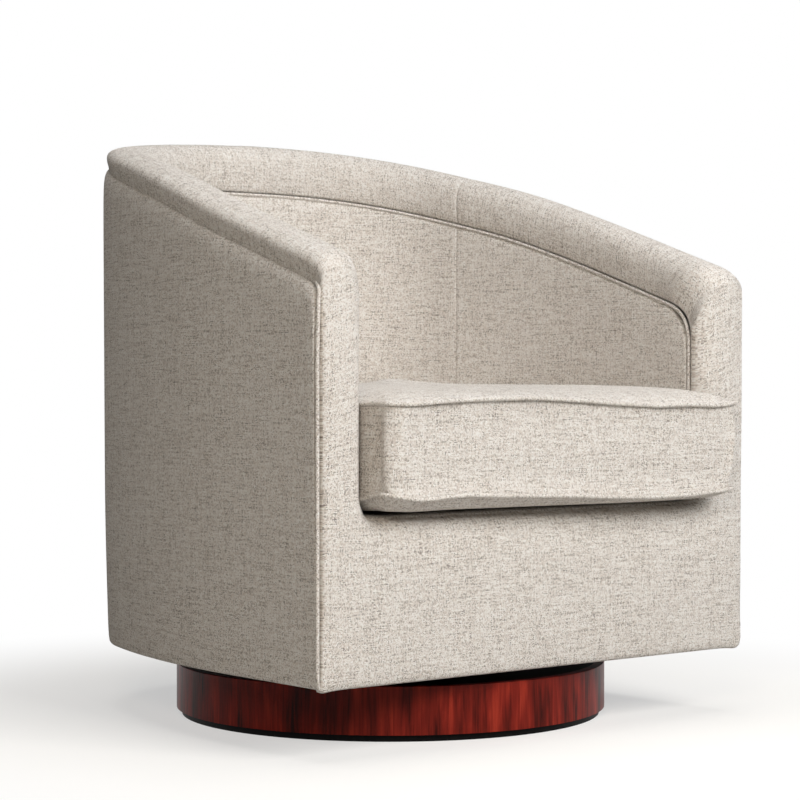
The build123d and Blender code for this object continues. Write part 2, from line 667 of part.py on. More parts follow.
slider_length, slider_height, slider_proud = ZIP_SLIDER
slider_plane = across(1, CORNER_CENTRE, CORNER_RADIUS - boxing_inset, ZIP_CLOSED_SWEEP)
slider_low = (zip_low + zip_high - slider_height) / 2
with BuildPart() as zip_slider:
    add(cushion_ring(boxing_inset - slider_proud, boxing_inset - ZIP_PLAY, slider_low, slider_low + slider_height))
    with BuildSketch(Plane(origin=slider_plane.origin, x_dir=slider_plane.x_dir, z_dir=(0, 0, 1))):
        Rectangle(SHELL, slider_length)
    extrude(amount=TOP, mode=Mode.INTERSECT)
finish(zip_slider.part, "zip_slider")
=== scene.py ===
"""Swivel barrel chair: a linen-covered tub with a loose box cushion on a round veneered drum."""
import math

import bmesh
import bpy
import numpy as np
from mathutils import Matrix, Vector


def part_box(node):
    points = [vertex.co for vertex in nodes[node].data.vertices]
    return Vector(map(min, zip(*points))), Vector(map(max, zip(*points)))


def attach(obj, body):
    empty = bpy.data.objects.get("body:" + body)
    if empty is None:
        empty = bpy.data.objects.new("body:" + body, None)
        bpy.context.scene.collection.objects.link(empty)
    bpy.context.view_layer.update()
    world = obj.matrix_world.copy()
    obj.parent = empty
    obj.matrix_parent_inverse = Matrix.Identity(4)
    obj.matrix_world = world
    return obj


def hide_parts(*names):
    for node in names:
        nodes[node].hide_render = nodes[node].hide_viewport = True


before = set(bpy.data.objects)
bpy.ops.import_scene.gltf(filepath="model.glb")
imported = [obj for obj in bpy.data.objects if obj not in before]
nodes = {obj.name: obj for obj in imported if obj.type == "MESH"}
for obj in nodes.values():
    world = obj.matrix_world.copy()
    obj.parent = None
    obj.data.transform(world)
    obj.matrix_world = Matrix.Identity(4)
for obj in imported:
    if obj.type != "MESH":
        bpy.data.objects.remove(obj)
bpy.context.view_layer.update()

# ---- Front cover -------------------------------------------------------------------------
# One piece of cloth over wadding: it runs across the front rail, up both arm fronts and back
# along the arms to a seam at each rear corner. It is pulled over the edges and stapled behind.
MM = 0.001
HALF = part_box("front_cover")[1][0]
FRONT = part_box("front_cover")[0][1]
BODY_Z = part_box("front_cover")[0][2]
DECK_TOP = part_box("deck_cloth")[1][2]
SIDE_END = -129 * MM            # where the straight sides start to curve
FLANK_RADIUS = 1178 * MM
FLANK_SWEEP = math.radians(16.7)
CORNER_RADIUS = 281 * MM
SEAM_SWEEP = math.radians(14.85)
SHELL = 70 * MM                 # outside face to inside face
CROWN_Y = np.array([-330, 25, 201, 330, 382]) * MM
CROWN_Z = np.array([591.7, 709.5, 756, 787.5, 796.5]) * MM
CROWN_SLOPE = np.array([0.333, 0.318, 0.252, 0.222, 0.06])


def crown(y):
    """Height of the rim line at y: a smooth curve through the crown's five heights."""
    y = np.clip(y, CROWN_Y[0], CROWN_Y[-1])
    i = np.clip(np.searchsorted(CROWN_Y, y) - 1, 0, len(CROWN_Y) - 2)
    span = CROWN_Y[i + 1] - CROWN_Y[i]
    u = (y - CROWN_Y[i]) / span
    start = CROWN_Z[i] * (1 + 2 * u) * (1 - u) ** 2 + CROWN_SLOPE[i] * span * u * (1 - u) ** 2
    end = CROWN_Z[i + 1] * (3 - 2 * u) * u**2 + CROWN_SLOPE[i + 1] * span * (u - 1) * u**2
    return start + end


def left_wall(y_start, step=14 * MM):
    """The left wall's outside face from y_start on the straight side to the middle of the back.

    Gives points, outward normals, and the index of the point at the rear corner seam.
    """
    points, normals = [], []

    def straight(start, end, normal):
        count = max(2, round(abs(end[0] - start[0] + end[1] - start[1]) / step))
        for k in range(count):
            points.append([a + (b - a) * k / count for a, b in zip(start, end)])
            normals.append(normal)

    def arc(centre, radius, turn_start, turn_end):
        count = max(2, round(radius * (turn_end - turn_start) / step))
        for k in range(count):
            a = turn_start + (turn_end - turn_start) * k / count
            normals.append((-math.cos(a), math.sin(a)))
            points.append((centre[0] - radius * math.cos(a), centre[1] + radius * math.sin(a)))

    flank_centre = (FLANK_RADIUS - HALF, SIDE_END)
    shift = FLANK_RADIUS - CORNER_RADIUS
    corner_centre = (
        flank_centre[0] - shift * math.cos(FLANK_SWEEP),
        flank_centre[1] + shift * math.sin(FLANK_SWEEP),
    )
    back_y = corner_centre[1] + CORNER_RADIUS
    straight((-HALF, y_start), (-HALF, SIDE_END), (-1, 0))
    arc(flank_centre, FLANK_RADIUS, 0, SEAM_SWEEP)
    seam = len(points)
    arc(flank_centre, FLANK_RADIUS, SEAM_SWEEP, FLANK_SWEEP)
    arc(corner_centre, CORNER_RADIUS, FLANK_SWEEP, math.pi / 2)
    straight((corner_centre[0], back_y), (0, back_y), (0, 1))
    points.append((0, back_y))
    normals.append((0, 1))
    return np.array(points), np.array(normals), seam


def wall_rows(points, normals, profile):
    """Rows of 3-D points: each wall point with a profile of (inset, drop below the crown line)."""
    inset, drop = profile[:, 0], profile[:, 1]
    xy = points[:, None, :] - normals[:, None, :] * inset[None, :, None]
    z = crown(xy[:, :, 1]) - drop[None, :]
    return np.concatenate([xy, z[:, :, None]], axis=2)


def smooth_mesh(name, rows, uvs, ring=False):
    """A smooth mesh round closed rows of points, with cloth coordinates in metres.

    Its ends are capped, unless the rows run in a ring.
    """
    n_rows, n_cols = rows.shape[:2]
    faces = []
    for r in range(n_rows if ring else n_rows - 1):
        s = (r + 1) % n_rows
        for c in range(n_cols):
            d = (c + 1) % n_cols
            faces.append((r * n_cols + c, s * n_cols + c, s * n_cols + d, r * n_cols + d))
    if not ring:
        faces.append(tuple(range(n_cols)))
        faces.append(tuple((n_rows - 1) * n_cols + c for c in reversed(range(n_cols))))
    mesh = bpy.data.meshes.new(name)
    mesh.from_pydata(rows.reshape(-1, 3).tolist(), [], faces)
    layer = mesh.uv_layers.new(name="cloth")
    flat = uvs.reshape(-1, 2)
    for loop in mesh.loops:
        layer.data[loop.index].uv = flat[loop.vertex_index]
    mesh.polygons.foreach_set("use_smooth", [True] * len(mesh.polygons))
    if not ring:
        # the end edges hold their place, or the tall end faces would draw them away from the seam
        crease = mesh.attributes.new("crease_edge", "FLOAT", "EDGE")
        for edge in mesh.edges:
            start, end = (v // n_cols for v in edge.vertices)
            if start == end and start in (0, n_rows - 1):
                crease.data[edge.index].value = 1.0
    piece = bpy.data.objects.new(name, mesh)
    bpy.context.scene.collection.objects.link(piece)
    subdivide(piece)
    return piece


def subdivide(piece):
    """Round a piece off between its points."""
    sub = piece.modifiers.new("smooth", "SUBSURF")
    sub.levels = sub.render_levels = 1
    apply_modifiers(piece)


def apply_modifiers(piece):
    """Turn a piece's modifiers into plain mesh."""
    depsgraph = bpy.context.evaluated_depsgraph_get()
    mesh = bpy.data.meshes.new_from_object(piece.evaluated_get(depsgraph))
    piece.modifiers.clear()
    old = piece.data
    piece.data = mesh
    bpy.data.meshes.remove(old)


def rounded_corner(start, corner, end, radius, counts=(5, 7, 4)):
    """Points from start to end past a corner rounded to a radius, in even stretches."""
    start, corner, end = (np.array(p, float) for p in (start, corner, end))
    into, out = corner - start, end - corner
    run_in, run_out = np.linalg.norm(into), np.linalg.norm(out)
    into, out = into / run_in, out / run_out
    turn = math.acos(float(np.clip(np.dot(into, out), -1, 1)))
    cut = min(radius * math.tan(turn / 2), 0.95 * run_in, 0.95 * run_out)
    arc_start, arc_end = corner - into * cut, corner + out * cut
    points = [start + (arc_start - start) * k / counts[0] for k in range(counts[0])]
    for k in range(counts[1]):
        u = k / counts[1]
        points.append((1 - u) ** 2 * arc_start + 2 * u * (1 - u) * corner + u**2 * arc_end)
    points += [arc_end + (end - arc_end) * k / counts[2] for k in range(counts[2] + 1)]
    return np.array(points)


# across the rim: (inset from the outside face, drop below the crown line), outside to inside
RIM_PROFILE = np.array([
    (5.2, 47), (5.2, 37), (3.2, 29.5), (0.8, 19.5), (2.8, 11.5), (10.5, 5.2), (21, 1.7), (32, -0.4),
    (44, -0.9), (55, 1.2), (64.5, 8), (70, 18.5), (72, 34), (71.6, 58), (66.5, 69.5),
]) * MM
# across an arm front: (inset from the outside face, depth behind the front plane)
ARM_PROFILE = np.array([
    (5.2, 14), (5.2, 10), (5.3, 7.5), (5.4, 5), (5.7, 2.8), (8.5, 0.2), (15, -1.8), (24, -2.8),
    (36, -2.6), (46, -1.6), (55, 1.5), (63, 7.5), (69.5, 15.5), (71.5, 24.5), (67, 34),
]) * MM
# up the rail: (height, depth behind the front plane), underside to deck
RAIL_PROFILE = np.array([
    (86.6, 30), (85.8, 12), (86.6, 3), (91.5, -0.6), (110, -1.6), (150, -2.6), (190, -2.8),
    (222, -2.4), (246, -2), (262, -0.8), (271, 1.8), (277, 6.5), (280, 13), (283, 24), (286, 34),
]) * MM
# the hidden back of each stretch, so that the pad is a closed body
RIM_BACK = np.array([(58, 66), (46, 62), (44, 34), (15, 34)]) * MM
ARM_BACK = np.array([(60, 31), (46, 28), (44, 10), (12, 11)]) * MM
RAIL_BACK = np.array([(282, 30), (268, 12), (200, 7), (96, 8)]) * MM
MIDDLE = 7                      # the column that the cloth coordinates are counted from
BEND_START_Y = -222 * MM        # where the rim starts to turn down into the arm front
BEND_END_Z = 480 * MM
BEND_RADII = np.array([16, 20, 24, 27, 29, 30, 31, 32, 34, 38, 44, 50, 54, 56, 56]) * MM
CORNER_ROUND = 26 * MM          # arm front into the rail's top edge
CORNER_FOLD = 0.011             # how much further out the cover lies over the lower front corners
LEAN = 0.35                     # how far the weave leans on the arm fronts, where the cloth is pulled over
SETTLE = 8 * MM                 # the wadding has settled by this much at the left rear corner
SETTLE_TURN, SETTLE_SPREAD = math.radians(55), math.radians(34)
SETTLE_CENTRE = (-41 * MM, SIDE_END + 258 * MM)     # the turn is counted about this point of the plan
SETTLE_DEPTH = 36 * MM          # the roll has settled down to this far below the crown line
SETTLE_FADE = 30 * MM           # and fades out this far past the middle
FOLD_SPREAD = 0.05              # radians of the turn that the corner's fold takes up
SQUARENESS = 260                # power that makes the outside corner square; 2 would be round
FULL_WIDTH, FULL_DEPTH = 15 * MM, 12 * MM           # of the edge that stands out further
FULL_LOW, FULL_MORE = 15 * MM, 4 * MM               # how far, and how much more at the top
FULL_START, FULL_RISE = 300 * MM, 100 * MM          # the height where the extra starts, and its run
LEAN_START, LEAN_RISE = 300 * MM, 150 * MM


def front_rows():
    """Rows for the left half of the front cover, from its rear seam to the middle of the rail."""
    rim = np.vstack([RIM_PROFILE, RIM_BACK])
    arm = np.vstack([ARM_PROFILE, ARM_BACK])
    rail = np.vstack([RAIL_PROFILE, RAIL_BACK])
    radii = np.concatenate([BEND_RADII, np.full(len(RIM_BACK), 6 * MM)])
    points, normals, seam = left_wall(BEND_START_Y)
    rim_part = wall_rows(points[seam::-1], normals[seam::-1], rim)
    bend = []
    for col in range(len(rim)):
        front_y = FRONT + arm[col, 1]
        start = rim_part[-1, col, 1:]
        corner = (front_y, crown(front_y) - rim[col, 1])
        path = rounded_corner(start, corner, (front_y, BEND_END_Z), radii[col])
        blend = np.linspace(0, 1, len(path))
        blend = blend**2 * (3 - 2 * blend)
        x = -HALF + rim[col, 0] * (1 - blend) + arm[col, 0] * blend
        bend.append(np.column_stack([x, path]))
    bend = np.stack(bend, axis=1)[1:]
    down = np.linspace(BEND_END_Z, DECK_TOP + CORNER_ROUND, 16)[1:]
    arm_rows = []
    for z in down:
        arm_rows.append(np.column_stack([-HALF + arm[:, 0], FRONT + arm[:, 1], np.full(len(arm), z)]))
    # from the arm front into the rail: square at the outside corner, round at the inside one
    centre = np.array([-HALF + SHELL + CORNER_ROUND, DECK_TOP + CORNER_ROUND])
    fan = []
    wide = CORNER_ROUND + SHELL - arm[:, 0]
    tall = CORNER_ROUND + DECK_TOP - rail[:, 0]
    squareness = 2 + SQUARENESS * np.clip((wide - CORNER_ROUND) / SHELL, 0, 1) ** 8
    corner_turn = math.atan2(tall[0], wide[0])
    turns = np.concatenate([
        np.linspace(0, corner_turn - 0.1, 9)[1:],
        corner_turn + np.array((-0.06, -0.03, -0.01, 0.01, 0.03, 0.07)),
        np.linspace(corner_turn + 0.14, math.pi / 2, 4),
    ])
    for a in turns:
        out = ((math.cos(a) / wide) ** squareness + (math.sin(a) / tall) ** squareness) ** (-1 / squareness)
        # the cloth is folded double over the board's corner, and stands out a little there
        out = out * (1 + CORNER_FOLD * np.exp(-(((a - corner_turn) / FOLD_SPREAD) ** 2)))
        mix = float(np.clip((a - corner_turn) / 0.2 + 0.5, 0, 1))
        mix = mix**2 * (3 - 2 * mix)
        depth = (1 - mix) * arm[:, 1] + mix * rail[:, 1]
        x = centre[0] - math.cos(a) * out
        z = centre[1] - math.sin(a) * out
        fan.append(np.column_stack([x, FRONT + depth, z]))
    rail_rows = []
    for x in np.linspace(centre[0], 0, 16)[1:]:
        rail_rows.append(np.column_stack([np.full(len(rail), x), FRONT + rail[:, 1], rail[:, 0]]))
    rows = np.concatenate([rim_part, bend, np.array(arm_rows), np.array(fan), np.array(rail_rows)])
    return rows


def fuller(rows):
    """The padding stands out further at the right arm's outside edge than at the left one's."""
    near_edge = np.clip(1 - (HALF - rows[..., 0]) / FULL_WIDTH, 0, 1)
    in_front = np.clip(1 - (rows[..., 1] - FRONT) / FULL_DEPTH, 0, 1)
    high = np.clip((rows[..., 2] - FULL_START) / FULL_RISE, 0, 1)
    rows = rows.copy()
    rows[..., 0] += (FULL_LOW + FULL_MORE * high) * near_edge * in_front
    return rows


def mirrored(rows):
    """Both halves of a piece from its left half, whose last row is in the middle."""
    right = rows[-2::-1].copy()
    right[..., 0] *= -1
    return np.concatenate([rows, right])


def unrolled(rows, middle):
    """Cloth coordinates: the distance along a middle column, and across from it."""
    along = np.concatenate([[0], np.cumsum(np.linalg.norm(np.diff(rows[:, middle], axis=0), axis=1))])
    steps = np.linalg.norm(np.diff(rows, axis=1), axis=2)
    across = np.concatenate([np.zeros((len(rows), 1)), np.cumsum(steps, axis=1)], axis=1)
    across -= across[:, middle : middle + 1]
    return np.stack([across, np.repeat(along[:, None], rows.shape[1], axis=1)], axis=2)


def pinched(rows, depth, near, level=False):
    """Draw the end rows of a pad into its seam, with one more row close to each.

    Level draws them straight into the wall, for a panel much taller than it is thick.
    """
    for end in (0, -1):
        inner = 1 if end == 0 else -2
        step = rows[inner] - rows[end]
        reach = np.linalg.norm(step, axis=1, keepdims=True)
        beside = rows[end] + step * np.minimum(near / np.maximum(reach, 1e-6), 0.5)
        middle = rows[end].mean(axis=0)
        toward = middle - rows[end]
        if level:
            toward[:, 2] = 0
        toward /= np.maximum(np.linalg.norm(toward, axis=1, keepdims=True), 1e-6)
        tucked = rows[end] + toward * depth
        if end == 0:
            rows = np.concatenate([[tucked], [beside], rows[1:]])
        else:
            rows = np.concatenate([rows[:-1], [beside], [tucked]])
    return rows


def linear(hex_colour):
    """A colour written as sRGB hex, as the linear value that a shader takes."""
    parts = [int(hex_colour[k : k + 2], 16) / 255 for k in (1, 3, 5)]
    return tuple(c / 12.92 if c <= 0.04045 else ((c + 0.055) / 1.055) ** 2.4 for c in parts) + (1.0,)


def add(material, kind, inputs=None, **settings):
    """Add a node to a material, with its settings and its inputs as values or other nodes' outputs."""
    node = material.node_tree.nodes.new(kind)
    for key, value in settings.items():
        setattr(node, key, value)
    for socket, value in (inputs or {}).items():
        if isinstance(value, bpy.types.NodeSocket):
            material.node_tree.links.new(value, node.inputs[socket])
        else:
            node.inputs[socket].default_value = value
    return node


YARN = 1.25 * MM                # drawn yarn spacing; the real one, near 0.9 mm, is under a pixel
SLUB = 40 * MM                  # length of a thick or dark stretch of yarn
MOTTLE = 12 * MM                # width of the faint clouds in the dye
YARN_HEIGHT = 0.8 * MM
BENDS = 0.06 / MM               # how close together the yarns' bends come
STRAY = 1.6 * YARN              # how far a bend takes a yarn off its line
ROW_APART, WAY_APART = 7.317, 3.7           # keep the slubs of one yarn clear of the next one's
CROSSING_WEIGHT, MOTTLE_WEIGHT = 0.42, 0.15     # beside the slubs, which weigh 1
SLUB_RISE = 2.5                 # how much the colour of a stretch of yarn tells in its height
FLAX_DARK, FLAX, FLAX_LIGHT = "#675C50", "#E3D9CF", "#FEFBF6"


def woven_linen(name, bias=0.0):
    """Polyester and linen upholstery cloth, plain weave, matt, with dark and light slubs both ways.

    Each crossing shows the yarn that lies on top, so the eye sees a fine salt and pepper grain.
    """
    cloth = bpy.data.materials.new(name)
    cloth.use_nodes = True
    shader = cloth.node_tree.nodes["Principled BSDF"]
    spot = add(cloth, "ShaderNodeUVMap", uv_map="cloth")
    turned = add(cloth, "ShaderNodeMapping", {"Vector": spot.outputs[0], "Rotation": (0, 0, bias)})
    wander = add(cloth, "ShaderNodeTexNoise", {"Vector": turned.outputs[0], "Scale": BENDS, "Detail": 1.0})
    centred = add(
        cloth, "ShaderNodeVectorMath",
        {0: wander.outputs["Color"], 1: (0.5, 0.5, 0.5)}, operation="SUBTRACT",
    )
    shifted = add(
        cloth, "ShaderNodeVectorMath",
        {0: centred.outputs[0], 1: (STRAY,) * 3, 2: turned.outputs[0]}, operation="MULTIPLY_ADD",
    )
    yarns = add(
        cloth, "ShaderNodeVectorMath",
        {0: shifted.outputs[0], 1: (1 / YARN, 1 / YARN, 0)}, operation="MULTIPLY",
    )
    index = add(cloth, "ShaderNodeVectorMath", {0: yarns.outputs[0]}, operation="FLOOR")
    across = add(cloth, "ShaderNodeVectorMath", {0: yarns.outputs[0]}, operation="FRACTION")
    number = add(cloth, "ShaderNodeSeparateXYZ", {0: index.outputs[0]})
    place = add(cloth, "ShaderNodeSeparateXYZ", {0: yarns.outputs[0]})
    within = add(cloth, "ShaderNodeSeparateXYZ", {0: across.outputs[0]})
    both = add(cloth, "ShaderNodeMath", {0: number.outputs[0], 1: number.outputs[1]}, operation="ADD")
    over = add(cloth, "ShaderNodeMath", {0: both.outputs[0], 1: 2.0}, operation="FLOORED_MODULO")
    tones, heights = [], []
    for along, beside in ((0, 1), (1, 0)):
        run = add(cloth, "ShaderNodeMath", {0: place.outputs[along], 1: YARN / SLUB}, operation="MULTIPLY")
        row = add(cloth, "ShaderNodeMath", {0: number.outputs[beside], 1: ROW_APART}, operation="MULTIPLY")
        yarn_spot = add(
            cloth, "ShaderNodeCombineXYZ", {0: run.outputs[0], 1: row.outputs[0], 2: WAY_APART * along},
        )
        tone = add(
            cloth, "ShaderNodeTexNoise",
            {"Vector": yarn_spot.outputs[0], "Scale": 1.0, "Detail": 4.0, "Roughness": 0.62},
        )
        tones.append(tone.outputs[0])
        turn = add(cloth, "ShaderNodeMath", {0: within.outputs[beside], 1: math.pi}, operation="MULTIPLY")
        heights.append(add(cloth, "ShaderNodeMath", {0: turn.outputs[0]}, operation="SINE").outputs[0])
    # the level yarns are thicker, more uneven and show more than the upright ones
    uneven = add(cloth, "ShaderNodeMath", {0: tones[0], 1: 1.3, 2: -0.15}, operation="MULTIPLY_ADD")
    share = add(cloth, "ShaderNodeMath", {0: over.outputs[0], 1: 0.6, 2: 0.15}, operation="MULTIPLY_ADD")
    tone = add(cloth, "ShaderNodeMix", {0: share.outputs[0], 2: uneven.outputs[0], 3: tones[1]})
    height = add(cloth, "ShaderNodeMix", {0: over.outputs[0], 2: heights[0], 3: heights[1]})
    crossing = add(cloth, "ShaderNodeTexWhiteNoise", {"Vector": index.outputs[0]}, noise_dimensions="2D")
    cloud = add(
        cloth, "ShaderNodeTexNoise", {"Vector": turned.outputs[0], "Scale": 1 / MOTTLE, "Detail": 3.0},
    )
    grain = tone.outputs[0]
    for speckle, weight in ((crossing, CROSSING_WEIGHT), (cloud, MOTTLE_WEIGHT)):
        grain = add(
            cloth, "ShaderNodeMath",
            {0: speckle.outputs[0], 1: weight, 2: grain}, operation="MULTIPLY_ADD",
        ).outputs[0]
    ramp = add(cloth, "ShaderNodeValToRGB", {0: grain})
    stops = ramp.color_ramp.elements
    stops[0].position, stops[0].color = 0.42, linear(FLAX_DARK)
    stops[1].position, stops[1].color = 0.96, linear(FLAX_LIGHT)
    middle = stops.new(0.70)
    middle.color = linear(FLAX)
    # a thick stretch of yarn stands higher too
    relief = add(
        cloth, "ShaderNodeMath",
        {0: grain, 1: SLUB_RISE, 2: height.outputs[0]}, operation="MULTIPLY_ADD",
    )
    bump = add(
        cloth, "ShaderNodeBump",
        {"Height": relief.outputs[0], "Strength": 0.8, "Distance": YARN_HEIGHT},
    )
    cloth.node_tree.links.new(ramp.outputs[0], shader.inputs["Base Color"])
    cloth.node_tree.links.new(bump.outputs[0], shader.inputs["Normal"])
    shader.inputs["Roughness"].default_value = 0.92
    shader.inputs["Specular IOR Level"].default_value = 0.2
    shader.inputs["Sheen Weight"].default_value = 0.12
    shader.inputs["Sheen Roughness"].default_value = 0.5
    return cloth


linen = woven_linen("woven_linen")


def dress(piece, body, slot, material, *replaced, fill=0.9):
    """Give a soft piece its cloth and the body it rides on, and hide the plain solids that it stands for."""
    piece.data.materials.append(material)
    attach(piece, body)
    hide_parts(*replaced)
    return piece


def settled(rows):
    """Lower the top of the roll a little round the left rear corner, and leave its seams."""
    x, y, z = rows[..., 0], rows[..., 1], rows[..., 2]
    turn = np.arctan2(y - SETTLE_CENTRE[1], SETTLE_CENTRE[0] - x)
    place = np.exp(-(((turn - SETTLE_TURN) / SETTLE_SPREAD) ** 2)) * np.clip(-x / SETTLE_FADE + 1, 0, 1)
    share = np.clip(1 - np.maximum(crown(y) - z, 0) / SETTLE_DEPTH, 0, 1)
    rows = rows.copy()
    rows[..., 2] = z - SETTLE * place * share
    return rows


def front_coords(rows):
    """Cloth coordinates of the front cover: along the arms, and straight down over the whole front."""
    coords = unrolled(rows, MIDDLE)
    middle_y = rows[:, MIDDLE, 1]
    first = int(np.argmax(middle_y < FRONT - 2 * MM))
    last = len(rows) - 1 - first
    edge_x = rows[first, MIDDLE, 0]
    flat = rows[first : last + 1]
    lean = np.clip((flat[..., 2] - LEAN_START) / LEAN_RISE, 0, 1) * LEAN
    side = flat[..., 0] - np.sign(flat[..., 0]) * abs(edge_x)
    coords[first : last + 1, :, 0] = flat[..., 0] - edge_x
    start = coords[first, MIDDLE, 1] + rows[first, MIDDLE, 2]
    coords[first : last + 1, :, 1] = start - flat[..., 2] + lean * side
    coords[last + 1 :] = coords[:first][::-1]
    coords[last + 1 :, :, 0] = -coords[last + 1 :, :, 0] - 2 * edge_x
    return coords


front_points = pinched(fuller(settled(mirrored(front_rows()))), depth=1.3 * MM, near=1.3 * MM)
front_cover = smooth_mesh("front_cover_cloth", front_points, front_coords(front_points))
dress(front_cover, "tub", "linen", linen, "front_cover")

# ---- Back of the rim ---------------------------------------------------------------------
# The same padded band, cut as its own piece between the two rear corner seams. It is sewn to
# the arm bands edge to edge.
wall_points, wall_normals, seam_index = left_wall(FRONT)
rim_loop = np.vstack([RIM_PROFILE, RIM_BACK])
rim_back_points = mirrored(wall_rows(wall_points[seam_index:], wall_normals[seam_index:], rim_loop))
rim_back_points = pinched(settled(rim_back_points), depth=1.3 * MM, near=1.3 * MM)
rim_back = smooth_mesh("rim_back_cloth", rim_back_points, unrolled(rim_back_points, MIDDLE))
dress(rim_back, "tub", "linen", linen, "rim_band_back")

# ---- Outside covers ----------------------------------------------------------------------
# Two cloth panels with thin wadding, sewn at the middle of the back, tacked under the rim's
# piping and turned under the bottom board.
# (inset, drop below the crown) near the rim, and (inset, height) near the hem
OUTER_TOP = np.array([(8.5, 38), (4.2, 38), (1, 41.2), (-1.6, 48.5), (-3, 62), (-3.3, 95)]) * MM
OUTER_LOW = np.array([
    (-1.6, 260), (0.8, 170), (2, 125), (2.8, 102), (3.6, 93.5), (4.4, 88), (11, 87.1), (28, 87.3),
]) * MM
OUTER_BACK_LOW = np.array([(11, 94)]) * MM
OUTER_BACK_TOP = np.array([(12, 43)]) * MM
OUTER_START = FRONT + 9.5 * MM
OUTER_ROUND = 20 * MM           # the panel's upper front corner


def close_start(points, normals, gaps):
    """The wall's points with more of them near its front end, at these distances from it."""
    close = np.array([(points[0, 0], points[0, 1] + gap) for gap in gaps])
    keep = points[:, 1] > close[-1, 1] + 4 * MM
    close_normals = np.repeat(normals[:1], len(close), axis=0)
    return np.concatenate([close, points[keep]]), np.concatenate([close_normals, normals[keep]])


def panel_rows(points, normals, top, low, back_low, back_top, between=4, corner=None):
    """Rows of a wall panel whose upper edge follows the rim line and whose lower edge is level.

    A corner radius rounds the upper edge down at the panel's front end.
    """
    rows = []
    for point, normal in zip(points, normals):
        fall = 0.0
        if corner:
            nearness = 1 - min((point[1] - points[0, 1]) / corner, 1)
            fall = corner * (1 - math.sqrt(1 - nearness**2))

        def placed(inset, height):
            xy = point - normal * inset
            return (xy[0], xy[1], height)

        def under_crown(inset, drop):
            xy = point - normal * inset
            return (xy[0], xy[1], float(crown(xy[1])) - drop - fall)

        row = [under_crown(*p) for p in top]
        first, last = np.array(row[-1]), np.array(placed(*low[0]))
        row += [tuple(first + (last - first) * k / (between + 1)) for k in range(1, between + 1)]
        row += [placed(*p) for p in low]
        row += [placed(*p) for p in back_low]
        row += [under_crown(*p) for p in back_top]
        rows.append(row)
    return np.array(rows)


def wall_coords(rows, top):
    """Cloth coordinates of a wall panel, with the level yarns level: counted from its first level row."""
    return unrolled(rows, len(top) + 4)[..., ::-1]


def wall_panel(name, node, points, normals, profiles, corner, side=-1, seam=1.2 * MM):
    """A padded panel on the wall, sewn at its ends, that stands for one CAD node of the tub."""
    rows = pinched(panel_rows(points, normals, *profiles, corner=corner), seam, 1.2 * MM, level=True)
    if side > 0:
        rows[..., 0] *= -1
        rows = rows[::-1]
    panel = smooth_mesh(name, rows, wall_coords(rows, profiles[0]))
    return dress(panel, "tub", "linen", linen, node)


outer_profiles = (OUTER_TOP, OUTER_LOW, OUTER_BACK_LOW, OUTER_BACK_TOP)
outer_wall = close_start(*left_wall(OUTER_START)[:2], np.array((0, 2, 5, 9, 14)) * MM)
wall_panel("outer_cloth_left", "outer_cover_left", *outer_wall, outer_profiles, OUTER_ROUND)
wall_panel("outer_cloth_right", "outer_cover_right", *outer_wall, outer_profiles, OUTER_ROUND, side=1)

# ---- Inside pads -------------------------------------------------------------------------
# Foam pads under cloth on the inside of the frame: one on each arm and one round the back,
# sewn edge to edge at the rear corners, tucked under the inside piping and behind the cushion.
INNER_TOP = np.array([(66.5, 70), (70, 71.8), (71.6, 77), (72.2, 92), (72.8, 120)]) * MM
INNER_LOW = np.array([(72.6, 330), (71.8, 290), (70, 266), (67, 260)]) * MM
INNER_BACK_LOW = np.array([(46, 260)]) * MM
INNER_BACK_TOP = np.array([(46, 74)]) * MM
INNER_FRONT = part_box("inner_pad_left")[0][1]
INNER_ROUND = 55 * MM           # the piping's bend round the pad's upper front corner
PAD_ROUND = 43 * MM
inner_profiles = (INNER_TOP, INNER_LOW, INNER_BACK_LOW, INNER_BACK_TOP)
inner_points, inner_normals, inner_seam = left_wall(INNER_FRONT)
arm_gaps = np.array((0, 2, 5, 9, 15, 23, 33, 44)) * MM
arm_wall = close_start(inner_points[: inner_seam + 1], inner_normals[: inner_seam + 1], arm_gaps)
wall_panel("inner_cloth_left", "inner_pad_left", *arm_wall, inner_profiles, PAD_ROUND, seam=1 * MM)
wall_panel("inner_cloth_right", "inner_pad_right", *arm_wall, inner_profiles, PAD_ROUND, side=1, seam=1 * MM)
back_rows = mirrored(panel_rows(inner_points[inner_seam:], inner_normals[inner_seam:], *inner_profiles))
back_rows = pinched(back_rows, 1 * MM, 1.2 * MM, level=True)
inner_back = smooth_mesh("inner_cloth_back", back_rows, wall_coords(back_rows, INNER_TOP))
dress(inner_back, "tub", "linen", linen, "inner_pad_back")

# ---- Piping of the tub -------------------------------------------------------------------
# Cord covered in the same cloth, cut on the bias and sewn into the seams: one length down each
# front corner and round the outside under the roll, one round the inside of the roll.
PIPE_RADIUS = 2.6 * MM
INNER_PIPE_INSET = 68.8 * MM


